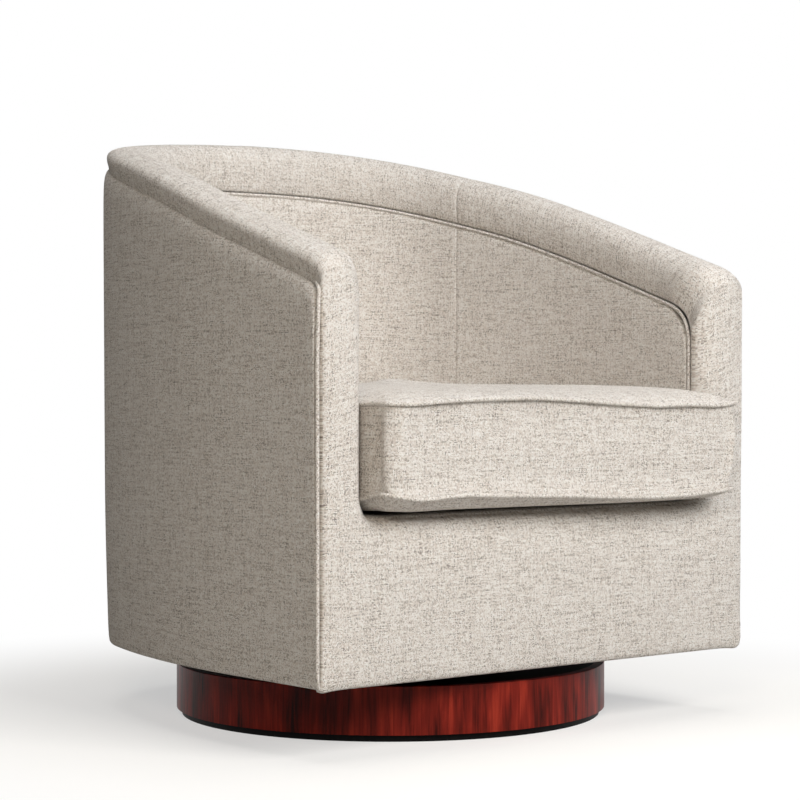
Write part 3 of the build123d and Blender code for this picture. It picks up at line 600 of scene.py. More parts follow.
def pipe(name, path, radius, sides=10, closed=False):
    """A round piping along a path of points, with its cloth coordinates."""
    path = np.array(path)
    if closed:
        ahead = np.roll(path, -1, axis=0) - np.roll(path, 1, axis=0)
    else:
        ahead = np.gradient(path, axis=0)
    ahead /= np.linalg.norm(ahead, axis=1, keepdims=True)
    side_axis = np.cross(ahead[0], (0, 0, 1.0))
    if np.linalg.norm(side_axis) < 0.1:
        side_axis = np.array((1.0, 0, 0))
    rows, uvs, run = [], [], 0.0
    for k in range(len(path)):
        side_axis = side_axis - ahead[k] * np.dot(side_axis, ahead[k])
        side_axis /= np.linalg.norm(side_axis)
        up_axis = np.cross(side_axis, ahead[k])
        turns = np.linspace(0, 2 * math.pi, sides, endpoint=False)
        ring = path[k] + radius * (np.cos(turns)[:, None] * side_axis + np.sin(turns)[:, None] * up_axis)
        rows.append(ring)
        run += np.linalg.norm(path[k] - path[k - 1]) if k else 0
        uvs.append(np.column_stack([turns * radius, np.full(sides, run)]))
    return smooth_mesh(name, np.array(rows), np.array(uvs), ring=closed)


def rim_pipe_path(inset, drop, corner_y, corner_x, low_z, radius):
    """Left half of a piping's path: up the arm, round the front of the rim, to the middle of the back."""
    points, normals, _ = left_wall(BEND_START_Y)
    xy = points - normals * inset
    rim_run = np.column_stack([xy, crown(xy[:, 1]) - drop])
    bend = rounded_corner(
        rim_run[0, 1:], (corner_y, crown(corner_y) - drop), (corner_y, BEND_END_Z), radius, counts=(4, 8, 3)
    )[1:]
    blend = np.linspace(0, 1, len(bend))
    bend_x = rim_run[0, 0] * (1 - blend) + corner_x * blend
    front = np.column_stack([bend_x, bend])
    down = [(corner_x, corner_y, z) for z in np.linspace(BEND_END_Z, low_z, 24)[1:]]
    return np.concatenate([np.array(down)[::-1], front[::-1], rim_run])


# along the rim the outer one lies deep in the crease under the roll, and shows only at the front
outer_path = rim_pipe_path(9 * MM, 37.5 * MM, FRONT + 6 * MM, -HALF + 0.2 * MM, BODY_Z + 1 * MM, 20 * MM)
outer_path = np.concatenate([[outer_path[0] + np.array((12, 6, -0.5)) * MM], outer_path])
outer_pipe = pipe("outer_piping", mirrored(outer_path[:, None, :])[:, 0], PIPE_RADIUS)
inner_path = rim_pipe_path(
    INNER_PIPE_INSET, 69.5 * MM, INNER_FRONT - 3 * MM, -HALF + INNER_PIPE_INSET, 262 * MM, INNER_ROUND,
)
inner_pipe = pipe("inner_piping", mirrored(inner_path[:, None, :])[:, 0], PIPE_RADIUS)
bias_linen = woven_linen("bias_cut_linen", bias=math.pi / 4)
for piping, node in ((outer_pipe, "outer_welt"), (inner_pipe, "inner_welt")):
    dress(piping, "tub", "piping", bias_linen, node, fill=1.0)


# ---- Seat deck -----------------------------------------------------------------------------
# What the cushion lies on: a foam pad over the springs, a foam roll along the front rail, and a
# plain linen cloth pulled over both and stapled to the seat rail.
def half_outline(inset, front, corner, step=12 * MM):
    """Half a D-shaped outline inside the tub, from the middle of its front past the left to its back."""
    left = -HALF + inset
    points = [(x, front) for x in np.linspace(0, left + corner, 24)[:-1]]
    for a in np.linspace(0, math.pi / 2, 10)[:-1]:
        points.append((left + corner - corner * math.sin(a), front + corner - corner * math.cos(a)))
    wall, normals, _ = left_wall(front + corner, step)
    return np.concatenate([points, wall - normals * inset])


def whole_loop(half, other=None):
    """A closed outline from its left half, and from another one turned over where the sides differ."""
    right = (half if other is None else other)[-2:0:-1].copy()
    right[:, 0] *= -1
    return np.concatenate([half, right])


def loop_outward(loop):
    """Unit vectors that point out of a closed plan outline."""
    along = np.roll(loop[:, :2], -1, axis=0) - np.roll(loop[:, :2], 1, axis=0)
    out = np.column_stack([-along[:, 1], along[:, 0]])
    out /= np.linalg.norm(out, axis=1, keepdims=True)
    return out if np.sum(out * loop[:, :2]) > 0 else -out


POLE_REACH = 1.05               # an edge of the end ring lies within this many times the ring's radius
POLE_LEVEL = 0.6 * MM           # and no further than this above or below its middle


def ring_faces(n_rings, n_around):
    """The quads between closed rings of points."""
    faces = []
    for r in range(n_rings - 1):
        low, high = r * n_around, (r + 1) * n_around
        for k in range(n_around):
            m = (k + 1) % n_around
            faces.append((low + k, low + m, high + m, high + k))
    return faces


def ring_mesh(name, rings, coords=None, first_pole=False, last_pole=False, smooth=True):
    """A smooth mesh through closed rings of points, its ends drawn together where a pole is asked for.

    The cloth coordinates are the plan position, or those given for each point.
    """
    n_rings, n_around = rings.shape[:2]
    corners = []
    mesh = bpy.data.meshes.new(name)
    mesh.from_pydata(rings.reshape(-1, 3).tolist(), [], ring_faces(n_rings, n_around))
    layer = mesh.uv_layers.new(name="cloth")
    if coords is not None:
        closing = coords[:, -1] + (coords[:, -1] - coords[:, -2])
        for r in range(n_rings - 1):
            for k in range(n_around):
                near, far = closing[r : r + 2]
                if k + 1 < n_around:
                    near, far = coords[r : r + 2, k + 1]
                corners += [coords[r, k], near, far, coords[r + 1, k]]
        layer.data.foreach_set("uv", np.array(corners, dtype=np.float32).ravel())
    piece = bpy.data.objects.new(name, mesh)
    bpy.context.scene.collection.objects.link(piece)
    if smooth:
        subdivide(piece)
    body = bmesh.new()
    body.from_mesh(piece.data)
    body.verts.ensure_lookup_table()
    for wanted, ring in ((first_pole, rings[0]), (last_pole, rings[-1])):
        if not wanted:
            continue
        middle = ring.mean(axis=0)
        reach = np.linalg.norm(ring - middle, axis=1).max() * POLE_REACH
        rim = []
        for edge in body.edges:
            away = edge.verts[0].co - Vector(middle)
            # a thin sheet has its other end ring close above or below
            if edge.is_boundary and away.length < reach and abs(away.z) < POLE_LEVEL:
                rim.append(edge)
        pole = body.verts.new(middle)
        for edge in rim:
            loop = edge.link_loops[0]
            body.faces.new((loop.link_loop_next.vert, loop.vert, pole))
    body.to_mesh(piece.data)
    body.free()
    if coords is None:
        layer = piece.data.uv_layers["cloth"]
        spots = np.empty(len(piece.data.vertices) * 3, dtype=np.float32)
        piece.data.vertices.foreach_get("co", spots)
        which = np.empty(len(piece.data.loops), dtype=np.int32)
        piece.data.loops.foreach_get("vertex_index", which)
        layer.data.foreach_set("uv", spots.reshape(-1, 3)[which, :2].ravel())
    piece.data.polygons.foreach_set("use_smooth", [True] * len(piece.data.polygons))
    return piece


def slab_rings(loop, profile):
    """Rings of a flat body: each (scale about the axis, offset outward, height) of the profile."""
    out = loop_outward(loop)
    rings = []
    for scale, offset, height in profile:
        xy = loop[:, :2] * scale + out * offset
        rings.append(np.column_stack([xy, np.full(len(xy), height)]))
    return np.array(rings)


def slab(name, node, slot, material, loop, profile, body="tub"):
    """A flat soft body, drawn from the middle of its underside to the middle of its top."""
    piece = ring_mesh(name, slab_rings(loop, profile), first_pole=True, last_pole=True)
    return dress(piece, body, slot, material, node)


def slab_profile(low, high, edge, dome=0.0):
    """Profile of a slab with rounded edges and a slightly domed top."""
    inner = [0.05, 0.3, 0.6, 0.85, 0.95]
    rows = [(s, 0, low) for s in inner]
    rows += [(1, -edge, low), (1, -0.3 * edge, low + 0.3 * edge), (1, 0, low + edge)]
    rows += [(1, 0, high - edge), (1, -0.3 * edge, high - 0.3 * edge), (1, -edge, high)]
    rows += [(s, -edge * s, high + dome * (1 - s**3)) for s in reversed(inner)]
    return rows


def grained(name, kind, settings, stops, bump=None, stretch=None):
    """A material whose colour, and relief if any, follow one texture in the piece's own coordinates.

    Stops are (texture value, colour), bump is (strength, height), stretch scales the coordinates.
    Gives the material, its shader and the texture's value.
    """
    material = bpy.data.materials.new(name)
    material.use_nodes = True
    shader = material.node_tree.nodes["Principled BSDF"]
    spot = add(material, "ShaderNodeTexCoord").outputs["Object"]
    if stretch:
        spot = add(material, "ShaderNodeMapping", {"Vector": spot, "Scale": stretch}).outputs[0]
    value = add(material, kind, {"Vector": spot, **settings}).outputs[0]
    ramp = add(material, "ShaderNodeValToRGB", {0: value})
    elements = ramp.color_ramp.elements
    for k in (0, 1):
        elements[k].position = stops[-k][0]
        elements[k].color = linear(stops[-k][1])
    for position, colour in stops[1:-1]:
        elements.new(position).color = linear(colour)
    material.node_tree.links.new(ramp.outputs[0], shader.inputs["Base Color"])
    if bump:
        relief = add(material, "ShaderNodeBump", {"Height": value, "Strength": bump[0], "Distance": bump[1]})
        material.node_tree.links.new(relief.outputs[0], shader.inputs["Normal"])
    return material, shader, value


# polyurethane foam, cut from the block: pale yellow and quite matt, with pores drawn as a fine dark
# stipple; the darker yellow in the middle of each pore is painted shade
FOAM_PORE = 2.0 * MM            # drawn pore; the real ones are under half a millimetre
FOAM_YELLOW, FOAM_PORE_SHADE = "#E9DDB4", "#C9B988"
foam, foam_shader, _ = grained(
    "open_cell_foam", "ShaderNodeTexVoronoi", {"Scale": 1 / FOAM_PORE},
    [(0, FOAM_PORE_SHADE), (0.45, FOAM_YELLOW)], bump=(0.5, 0.5 * MM),
)
foam_shader.inputs["Roughness"].default_value = 0.95
foam_shader.inputs["Specular IOR Level"].default_value = 0.15

# felt needled from mixed fibre: dull grey, with darker and paler clumps and a hairy, uneven face
FELT_FIBRE = 3.0 * MM           # drawn clump, much coarser than the fibres in it
FELT_GREY, FELT_DARK, FELT_PALE = "#8B857C", "#5F5A54", "#B7B1A6"
felt, felt_shader, _ = grained(
    "needled_felt", "ShaderNodeTexNoise", {"Scale": 1 / FELT_FIBRE, "Detail": 6.0, "Distortion": 1.5},
    [(0.3, FELT_DARK), (0.5, FELT_GREY), (0.75, FELT_PALE)], bump=(0.6, 0.6 * MM),
)
felt_shader.inputs["Roughness"].default_value = 0.95

DECK_INSET = 71.6 * MM
deck_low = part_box("deck_pad")[0][2]
deck_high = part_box("deck_pad")[1][2]
deck_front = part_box("deck_pad")[0][1]
deck_loop = whole_loop(half_outline(DECK_INSET, deck_front, 4 * MM))
deck_profile = slab_profile(deck_low, deck_high - 1 * MM, 5 * MM)
slab("deck_foam", "deck_pad", "foam", foam, deck_loop, deck_profile)
slab(
    "deck_linen", "deck_cloth", "linen", linen, deck_loop,
    [(0.05, 0, DECK_TOP - 1.6 * MM), (0.5, 0, DECK_TOP - 1.8 * MM), (0.95, 0, DECK_TOP - 2 * MM),
     (1, -5 * MM, DECK_TOP - 2.2 * MM), (1, -1.2 * MM, DECK_TOP - 6 * MM), (1, -0.2 * MM, DECK_TOP - 6 * MM),
     (1, -0.8 * MM, DECK_TOP - 3.5 * MM), (1, -5 * MM, DECK_TOP - 1.2 * MM), (0.95, 0, DECK_TOP - 0.6 * MM),
     (0.6, 0, DECK_TOP - 0.3 * MM), (0.3, 0, DECK_TOP - 0.2 * MM), (0.05, 0, DECK_TOP - 0.2 * MM)],
)
ROLL_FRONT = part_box("edge_roll")[0][1]
ROLL_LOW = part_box("edge_roll")[0][2]
ROLL_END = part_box("edge_roll")[1][0]
roll_rows = []
for x in np.concatenate([[-1, -0.995], np.linspace(-0.96, 0.96, 40), [0.995, 1]]) * ROLL_END:
    tight = 0.9 if abs(x) > 0.993 * ROLL_END else 1.0
    row = []
    for a in np.linspace(0, 2 * math.pi, 14, endpoint=False):
        y = ROLL_FRONT + 15 * MM + 8 * MM * tight * math.cos(a)
        row.append((x, y, ROLL_LOW + 12 * MM + 11 * MM * tight * math.sin(a)))
    roll_rows.append(row)
roll_rows = np.array(roll_rows)
edge_roll = smooth_mesh("edge_roll_foam", roll_rows, roll_rows[..., [0, 2]])
dress(edge_roll, "tub", "foam", foam, "edge_roll", fill=1.0)
felt_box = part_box("spring_felt")
felt_loop = whole_loop(half_outline(112 * MM, felt_box[0][1], 20 * MM))
slab(
    "felt_over_springs", "spring_felt", "felt", felt, felt_loop,
    slab_profile(felt_box[0][2] + 0.1 * MM, felt_box[1][2], 0.8 * MM),
)

# ---- Seat cushion ------------------------------------------------------------------------
# A loose box cushion: top and bottom panels of linen sewn with piping to a boxing strip, filled
# with foam. It is blown up with cloth simulation, so that it pulls in at its seams.
CUSHION_INSET = 76.5 * MM        # leaves room for its piping when it is lifted out past the pads
CUSHION_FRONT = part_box("cushion_boxing")[0][1]
CUSHION_CORNER, RIGHT_CORNER = 38 * MM, 15 * MM
CUSHION_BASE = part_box("cushion_bottom_panel")[0][2]
CUSHION_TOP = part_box("cushion_top_panel")[1][2]
SPREAD, RIGHT_SPREAD = 9 * MM, 22 * MM      # how far the front swells past the arms
UPPER_SEAM = 422 * MM
LOWER_SEAM = 308 * MM
# from the lower seam under to the flat base: (distance inward, share of the fall)
UNDER_FALL = np.array([(0, 0), (4, 0.24), (9, 0.48), (15, 0.68), (22, 0.8), (40, 0.87), (80, 1)])
AHEAD_OF_ARMS = -322 * MM       # the cover swells sideways only in front of this
# rows of the boxing between its seams, closer together beside them
BOXING_ROWS = np.array([0, 0.03, 0.09, 0.18, 0.28, 0.39, 0.5, 0.61, 0.72, 0.82, 0.91, 0.97, 1])
# how the seams wander along the front: (x, rise of the upper seam, rise of the lower seam)
SEAM_WAVES = np.array([
    (-300, 3, 11), (-286, 1, 8), (-262, 0, 3), (-240, 1.5, 1), (-215, 3, 3), (-170, 5, 5), (-145, 5.5, 3.5),
    (-110, 6, 1.5), (-60, 6, 0), (20, 2, -3), (80, -2, -6),
    (150, -5.5, -8.5), (210, -4, -7.5), (260, -6.5, -5), (285, -4, -3), (300, -2, -2), (310, 0, -1),
]) * MM


def cushion_rings(loop, seam_wave):
    """Rings of the cushion's cover, from the middle of its underside to the middle of its top."""
    out = loop_outward(loop)
    ahead = np.clip((AHEAD_OF_ARMS - loop[:, 1]) / (20 * MM), 0, 1)
    ahead = ahead**2 * (3 - 2 * ahead)
    half_width = np.abs(loop[:, 0]).max()
    spread = np.where(loop[:, 0] > 0, RIGHT_SPREAD, SPREAD)
    loop = loop * np.column_stack([1 + ahead * spread / half_width, np.ones(len(loop))])
    in_front = np.clip((-296 * MM - loop[:, 1]) / (18 * MM), 0, 1)
    upper_rise = np.interp(loop[:, 0], seam_wave[:, 0], seam_wave[:, 1]) * in_front
    lower_rise = np.interp(loop[:, 0], seam_wave[:, 0], seam_wave[:, 2]) * in_front
    upper_z, lower_z = UPPER_SEAM + upper_rise, LOWER_SEAM + lower_rise
    under = np.array([0.03, 0.12, 0.25, 0.4, 0.54, 0.66, 0.76, 0.84, 0.9, 0.94, 0.965, 0.985, 0.996])
    over = np.array([0.986, 0.968, 0.94, 0.9, 0.84, 0.76, 0.66, 0.54, 0.4, 0.25, 0.12, 0.03])
    rings = []
    for s in under:
        fall = np.interp((1 - s) * half_width / MM, UNDER_FALL[:, 0], UNDER_FALL[:, 1])
        z = lower_z + (CUSHION_BASE + 0.4 * MM - lower_z) * fall
        rings.append(np.column_stack([loop * s, z]))
    for u in BOXING_ROWS:
        swell = max(math.sin(math.pi * u), 0) * (0.4 + 3.6 * ahead) * MM
        # the lower seam is pulled in at the right corner
        pull = (1 - u) * 8 * MM * ahead * np.clip((loop[:, 0] - 250 * MM) / (50 * MM), 0, 1)
        z = lower_z + (upper_z - lower_z) * u
        ring = loop + out * swell[:, None]
        ring[:, 0] -= pull
        rings.append(np.column_stack([ring, z]))
    for s in over:
        z = upper_z + (CUSHION_TOP + 1 * MM - upper_z) * (1 - s**6) ** 0.5
        rings.append(np.column_stack([loop * s, z]))
    return np.array(rings), len(under), len(under) + len(BOXING_ROWS) - 1


cushion_half = half_outline(CUSHION_INSET, CUSHION_FRONT + 3 * MM, CUSHION_CORNER, step=10 * MM)
right_half = half_outline(CUSHION_INSET, CUSHION_FRONT + 3 * MM, RIGHT_CORNER, step=10 * MM)
cushion_loop = np.roll(whole_loop(cushion_half, right_half), -len(cushion_half) + 1, axis=0)
cover_rings, LOWER_RING, UPPER_RING = cushion_rings(cushion_loop, SEAM_WAVES)
rest_rings = cover_rings.copy()


SWELL_STEPS = 16
SWELL_CAP = 7 * MM              # nothing swells further than this


def blown_up(rings):
    """The cover after cloth simulation: pressed out by its filling between seams that hold."""
    n_rings, n_around = rings.shape[:2]
    mesh = bpy.data.meshes.new("cover_cloth")
    mesh.from_pydata(rings.reshape(-1, 3).tolist(), [], ring_faces(n_rings, n_around))
    bag = bpy.data.objects.new("cover_cloth", mesh)
    bpy.context.scene.collection.objects.link(bag)
    held = bag.vertex_groups.new(name="held")
    flat = [r for r in range(n_rings) if np.ptp(rings[r, :, 2]) < 0.1 * MM and rings[r, 0, 2] < LOWER_SEAM]
    for r in [*flat, LOWER_RING, UPPER_RING, n_rings - 1]:
        held.add(list(range(r * n_around, (r + 1) * n_around)), 1.0, "REPLACE")
    cloth = bag.modifiers.new("cloth", "CLOTH").settings
    cloth.quality = 6
    cloth.mass = 0.3
    cloth.tension_stiffness = cloth.compression_stiffness = 12
    cloth.shear_stiffness = 4
    cloth.bending_stiffness = 0.6
    cloth.shrink_min = -0.012       # the panels are cut a little larger than their frame of seams
    cloth.use_pressure = True
    cloth.uniform_pressure_force = 3.0
    cloth.vertex_group_mass = "held"
    cloth.effector_weights.gravity = 0
    scene = bpy.context.scene
    for step in range(1, SWELL_STEPS + 1):
        scene.frame_set(step)
    result = bag.evaluated_get(bpy.context.evaluated_depsgraph_get()).data
    spots = np.empty(len(result.vertices) * 3, dtype=np.float32)
    result.vertices.foreach_get("co", spots)
    bag.modifiers.clear()
    scene.frame_set(1)
    bpy.data.objects.remove(bag)
    moved = spots.reshape(rings.shape).astype(float) - rings
    reach = np.linalg.norm(moved, axis=2, keepdims=True)
    moved *= np.minimum(SWELL_CAP / np.maximum(reach, 1e-9), 1)
    # behind the arm fronts the walls of the tub hold the boxing, and the deck holds the base
    free = np.clip((-312 * MM - rings[..., 1]) / (12 * MM), 0, 1)
    walls = np.zeros(n_rings)
    walls[LOWER_RING - 4 : UPPER_RING + 4] = 1
    held_in = 1 - walls[:, None] * (1 - free)
    moved[..., :2] *= held_in[..., None]
    moved[:LOWER_RING, :, 2] = np.clip(moved[:LOWER_RING, :, 2], -1.2 * MM * free[:LOWER_RING], 0.3 * MM)
    return rings + moved


cover_rings = blown_up(cover_rings)
# the cloth coordinates: plan for the panels, round and up for the boxing
around = np.concatenate([[0], np.cumsum(np.linalg.norm(np.diff(cushion_loop, axis=0), axis=1))])
boxing_coords = np.stack([np.broadcast_to(around, rest_rings.shape[:2]), rest_rings[..., 2]], axis=2)


SEAM_ALLOWANCE = 6 * MM
FOAM_SHARE = 0.92               # of the cover's outline that the foam block fills


def tucked_in(ring, depth):
    """The seam allowance: a ring drawn in toward the middle of the cushion."""
    middle = np.array((0, 0, (UPPER_SEAM + LOWER_SEAM) / 2))
    toward = middle - ring
    toward /= np.linalg.norm(toward, axis=1, keepdims=True)
    return ring + toward * depth


boxing_rings = cover_rings[LOWER_RING : UPPER_RING + 1]
bottom_rings = cover_rings[: LOWER_RING + 1]
top_rings = cover_rings[UPPER_RING:]
boxing_ends = [[tucked_in(boxing_rings[end], SEAM_ALLOWANCE)] for end in (0, -1)]
boxing_rings = np.concatenate([boxing_ends[0], boxing_rings, boxing_ends[1]])
box_uv = boxing_coords[LOWER_RING : UPPER_RING + 1]
box_uv = np.concatenate([box_uv[:1], box_uv, box_uv[-1:]])
bottom_rings = np.concatenate([bottom_rings, [tucked_in(bottom_rings[-1], SEAM_ALLOWANCE)]])
top_rings = np.concatenate([[tucked_in(top_rings[0], SEAM_ALLOWANCE)], top_rings])
top_panel = ring_mesh("cushion_top_cloth", top_rings, last_pole=True)
bottom_panel = ring_mesh("cushion_bottom_cloth", bottom_rings, first_pole=True)
boxing = ring_mesh("cushion_boxing_cloth", boxing_rings, box_uv)
dress(top_panel, "cushion", "linen", linen, "cushion_top_panel")
dress(bottom_panel, "cushion", "linen", linen, "cushion_bottom_panel")
dress(boxing, "cushion", "linen", linen, "cushion_boxing", "cushion_zip_band")
slab(
    "cushion_foam_block", "cushion_foam", "foam", foam, cushion_loop * FOAM_SHARE,
    slab_profile(CUSHION_BASE + 9 * MM, CUSHION_TOP - 30 * MM, 16 * MM, dome=18 * MM),
    body="cushion",
)
for name, node, ring in (
    ("cushion_top_piping", "cushion_top_welt", UPPER_RING),
    ("cushion_bottom_piping", "cushion_bottom_welt", LOWER_RING),
):
    seam_path = cover_rings[ring]
    # it stands out in front, and lies half in the seam where the tub holds the cushion
    forward = np.clip((AHEAD_OF_ARMS - seam_path[:, 1:2]) / (20 * MM), 0, 1)
    seam_out = seam_path[:, :2] + loop_outward(seam_path) * (0.4 + 2.4 * forward) * MM
    piping = pipe(name, np.column_stack([seam_out, seam_path[:, 2]]), 2.9 * MM, closed=True)
    dress(piping, "cushion", "piping", bias_linen, node, fill=1.0)

# ---- Cushion zip ---------------------------------------------------------------------------
# A nylon coil zip along the back of the boxing, so that the cover comes off for washing: woven
# tape with a moulded coil down its middle, and a small die-cast slider.
ZIP_LOW, ZIP_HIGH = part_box("cushion_zip")[0][2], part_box("cushion_zip")[1][2]
ZIP_START_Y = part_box("cushion_zip")[0][1]
# across the zip: (height from its middle, how proud of the boxing)
ZIP_PROFILE = np.array([
    (-4, -0.6), (-4, 0.9), (-2, 1.1), (-1.3, 1.7), (0, 2), (1.3, 1.7), (2, 1.1), (4, 0.9), (4, -0.6),
]) * MM
zip_line = cushion_loop[cushion_loop[:, 1] > ZIP_START_Y]
zip_out = loop_outward(cushion_loop)[cushion_loop[:, 1] > ZIP_START_Y]
order = np.argsort(zip_line[:, 0])
zip_line, zip_out = zip_line[order], zip_out[order]
zip_rows = []
for height, proud in ZIP_PROFILE:
    level = np.full(len(zip_line), (ZIP_LOW + ZIP_HIGH) / 2 + height)
    zip_rows.append(np.column_stack([zip_line + zip_out * proud, level]))
zip_rows = np.stack(zip_rows, axis=1)
zip_tape = smooth_mesh("zip_tape", zip_rows, unrolled(zip_rows, 4))
# polyester tape with a nylon coil: beige and smooth, ribbed across by rows of small teeth; the darker beige
# between the teeth is painted shade
COIL_PITCH = 1.6 * MM           # drawn tooth spacing; the real one is 1.2 mm
TAPE_BEIGE, TAPE_SHADE = "#CFC6B8", "#A79D8E"
coil_tape = bpy.data.materials.new("polyester_zip_tape")
coil_tape.use_nodes = True
coil_shader = coil_tape.node_tree.nodes["Principled BSDF"]
coil_spot = add(coil_tape, "ShaderNodeUVMap", uv_map="cloth")
coil_teeth = add(
    coil_tape, "ShaderNodeTexWave", {"Vector": coil_spot.outputs[0], "Scale": math.pi / (10 * COIL_PITCH)},
    bands_direction="Y",
)
coil_ramp = add(coil_tape, "ShaderNodeValToRGB", {0: coil_teeth.outputs["Fac"]})
# the shade colour sits in the grooves between the teeth: painted shade
coil_ramp.color_ramp.elements[0].color = linear(TAPE_SHADE)
coil_ramp.color_ramp.elements[1].color = linear(TAPE_BEIGE)
coil_bump = add(
    coil_tape, "ShaderNodeBump",
    {"Height": coil_teeth.outputs["Fac"], "Strength": 0.5, "Distance": 0.5 * MM},
)
coil_tape.node_tree.links.new(coil_ramp.outputs[0], coil_shader.inputs["Base Color"])
coil_tape.node_tree.links.new(coil_bump.outputs[0], coil_shader.inputs["Normal"])
coil_shader.inputs["Roughness"].default_value = 0.6
dress(zip_tape, "cushion", "zip_tape", coil_tape, "cushion_zip", fill=1.0)

# ---- Drum base ---------------------------------------------------------------------------
# A plywood drum faced with red-brown mahogany veneer, its grain upright, under a glossy
# lacquer. It stands on a black-stained plinth board, set in a little, so that it seems to float.
# mahogany veneer under clear lacquer: deep red-brown, fine dark streaks within wider lighter bands, and a
# soft shine that the lacquer spreads
DRUM_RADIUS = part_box("drum_wall")[1][0]
VENEER_STREAK = 4.0 * MM        # drawn streak, coarser than the pores of the wood
VENEER_BAND = 26 * MM
STREAK_WEIGHT, BAND_WEIGHT = 0.42, 0.64
VENEER_DARK, VENEER_RED, VENEER_LIGHT = "#260906", "#762118", "#A83A28"


def turned_spot(material):
    """A material's coordinates round the swivel axis: distance round the drum, height."""
    spot = add(material, "ShaderNodeTexCoord")
    axes = add(material, "ShaderNodeSeparateXYZ", {0: spot.outputs["Object"]})
    back = add(material, "ShaderNodeMath", {0: axes.outputs[1], 1: -1.0}, operation="MULTIPLY")
    turn = add(material, "ShaderNodeMath", {0: axes.outputs[0], 1: back.outputs[0]}, operation="ARCTAN2")
    run = add(material, "ShaderNodeMath", {0: turn.outputs[0], 1: DRUM_RADIUS}, operation="MULTIPLY")
    return run.outputs[0], axes.outputs[2]


veneer = bpy.data.materials.new("lacquered_mahogany_veneer")
veneer.use_nodes = True
veneer_shader = veneer.node_tree.nodes["Principled BSDF"]
veneer_run, veneer_height = turned_spot(veneer)
streak_u = add(veneer, "ShaderNodeMath", {0: veneer_run, 1: 1 / VENEER_STREAK}, operation="MULTIPLY")
streak_v = add(veneer, "ShaderNodeMath", {0: veneer_height, 1: 0.05 / VENEER_STREAK}, operation="MULTIPLY")
streak_spot = add(veneer, "ShaderNodeCombineXYZ", {0: streak_u.outputs[0], 1: streak_v.outputs[0]})
streaks = add(
    veneer, "ShaderNodeTexNoise",
    {"Vector": streak_spot.outputs[0], "Scale": 1.0, "Detail": 5.0, "Roughness": 0.62, "Distortion": 0.4},
)
band_u = add(veneer, "ShaderNodeMath", {0: veneer_run, 1: 1 / VENEER_BAND}, operation="MULTIPLY")
band_v = add(veneer, "ShaderNodeMath", {0: veneer_height, 1: 0.18 / VENEER_BAND}, operation="MULTIPLY")
band_spot = add(veneer, "ShaderNodeCombineXYZ", {0: band_u.outputs[0], 1: band_v.outputs[0]})
bands = add(veneer, "ShaderNodeTexNoise", {"Vector": band_spot.outputs[0], "Scale": 1.0, "Detail": 2.0})
figure = add(veneer, "ShaderNodeMath", {0: streaks.outputs[0], 1: STREAK_WEIGHT}, operation="MULTIPLY")
figure = add(
    veneer, "ShaderNodeMath",
    {0: bands.outputs[0], 1: BAND_WEIGHT, 2: figure.outputs[0]}, operation="MULTIPLY_ADD",
)
veneer_ramp = add(veneer, "ShaderNodeValToRGB", {0: figure.outputs[0]})
veneer_stops = veneer_ramp.color_ramp.elements
veneer_stops[0].position = 0.4
veneer_stops[0].color = linear(VENEER_DARK)
veneer_stops[1].position = 0.76
veneer_stops[1].color = linear(VENEER_LIGHT)
veneer_stops.new(0.58).color = linear(VENEER_RED)
veneer_bump = add(
    veneer, "ShaderNodeBump", {"Height": streaks.outputs[0], "Strength": 0.15, "Distance": 0.1 * MM},
)
veneer.node_tree.links.new(veneer_ramp.outputs[0], veneer_shader.inputs["Base Color"])
veneer.node_tree.links.new(veneer_bump.outputs[0], veneer_shader.inputs["Normal"])
veneer_shader.inputs["Roughness"].default_value = 0.34
veneer_shader.inputs["IOR"].default_value = 1.5
veneer_shader.inputs["Specular IOR Level"].default_value = 0.06
veneer_shader.inputs["Coat Weight"].default_value = 0.02
veneer_shader.inputs["Coat Roughness"].default_value = 0.12

# board stained black: it reads as a dead black line under the drum, a little greyer where it is worn. On the
# drum's top board, in the gap under the tub, the same black is painted shade.
STAIN_CLOUD = 0.15 / MM         # how close together the worn places come
BLACK_STAIN_AND_SHADE, BLACK_WORN = "#070606", "#151413"
black_board, black_shader, _ = grained(
    "black_stain_and_gap_shade", "ShaderNodeTexNoise", {"Scale": STAIN_CLOUD, "Detail": 4.0},
    [(0.45, BLACK_STAIN_AND_SHADE), (0.8, BLACK_WORN)],
)
black_shader.inputs["Roughness"].default_value = 0.5
black_shader.inputs["Specular IOR Level"].default_value = 0.06

# raw poplar plywood, sanded: pale tan, matt, with long brown streaks along the board
PLY_GRAIN = 2.2 * MM            # drawn streak, coarser than real grain
PLY_LENGTHEN = 0.06             # a streak is this much finer along the grain than across
PLY_LIGHT, PLY_TAN, PLY_BROWN = "#D9BE93", "#C4A271", "#9A7648"
frame_wood, wood_shader, _ = grained(
    "raw_poplar_plywood", "ShaderNodeTexNoise", {"Scale": 1.0, "Detail": 4.0, "Distortion": 0.6},
    [(0.3, PLY_BROWN), (0.5, PLY_TAN), (0.75, PLY_LIGHT)], bump=(0.3, 0.2 * MM),
    stretch=(1 / PLY_GRAIN, PLY_LENGTHEN / PLY_GRAIN, 1 / PLY_GRAIN),
)
wood_shader.inputs["Roughness"].default_value = 0.7


def finish_nodes(material, *names):
    """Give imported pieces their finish."""
    for name in names:
        nodes[name].material_slots[0].material = material


finish_nodes(veneer, "drum_wall")
# the drum's top board gets this black too: there it is painted shade for the dark gap under the tub
finish_nodes(black_board, "plinth_board", "drum_top_board")
finish_nodes(frame_wood, "drum_blocks")

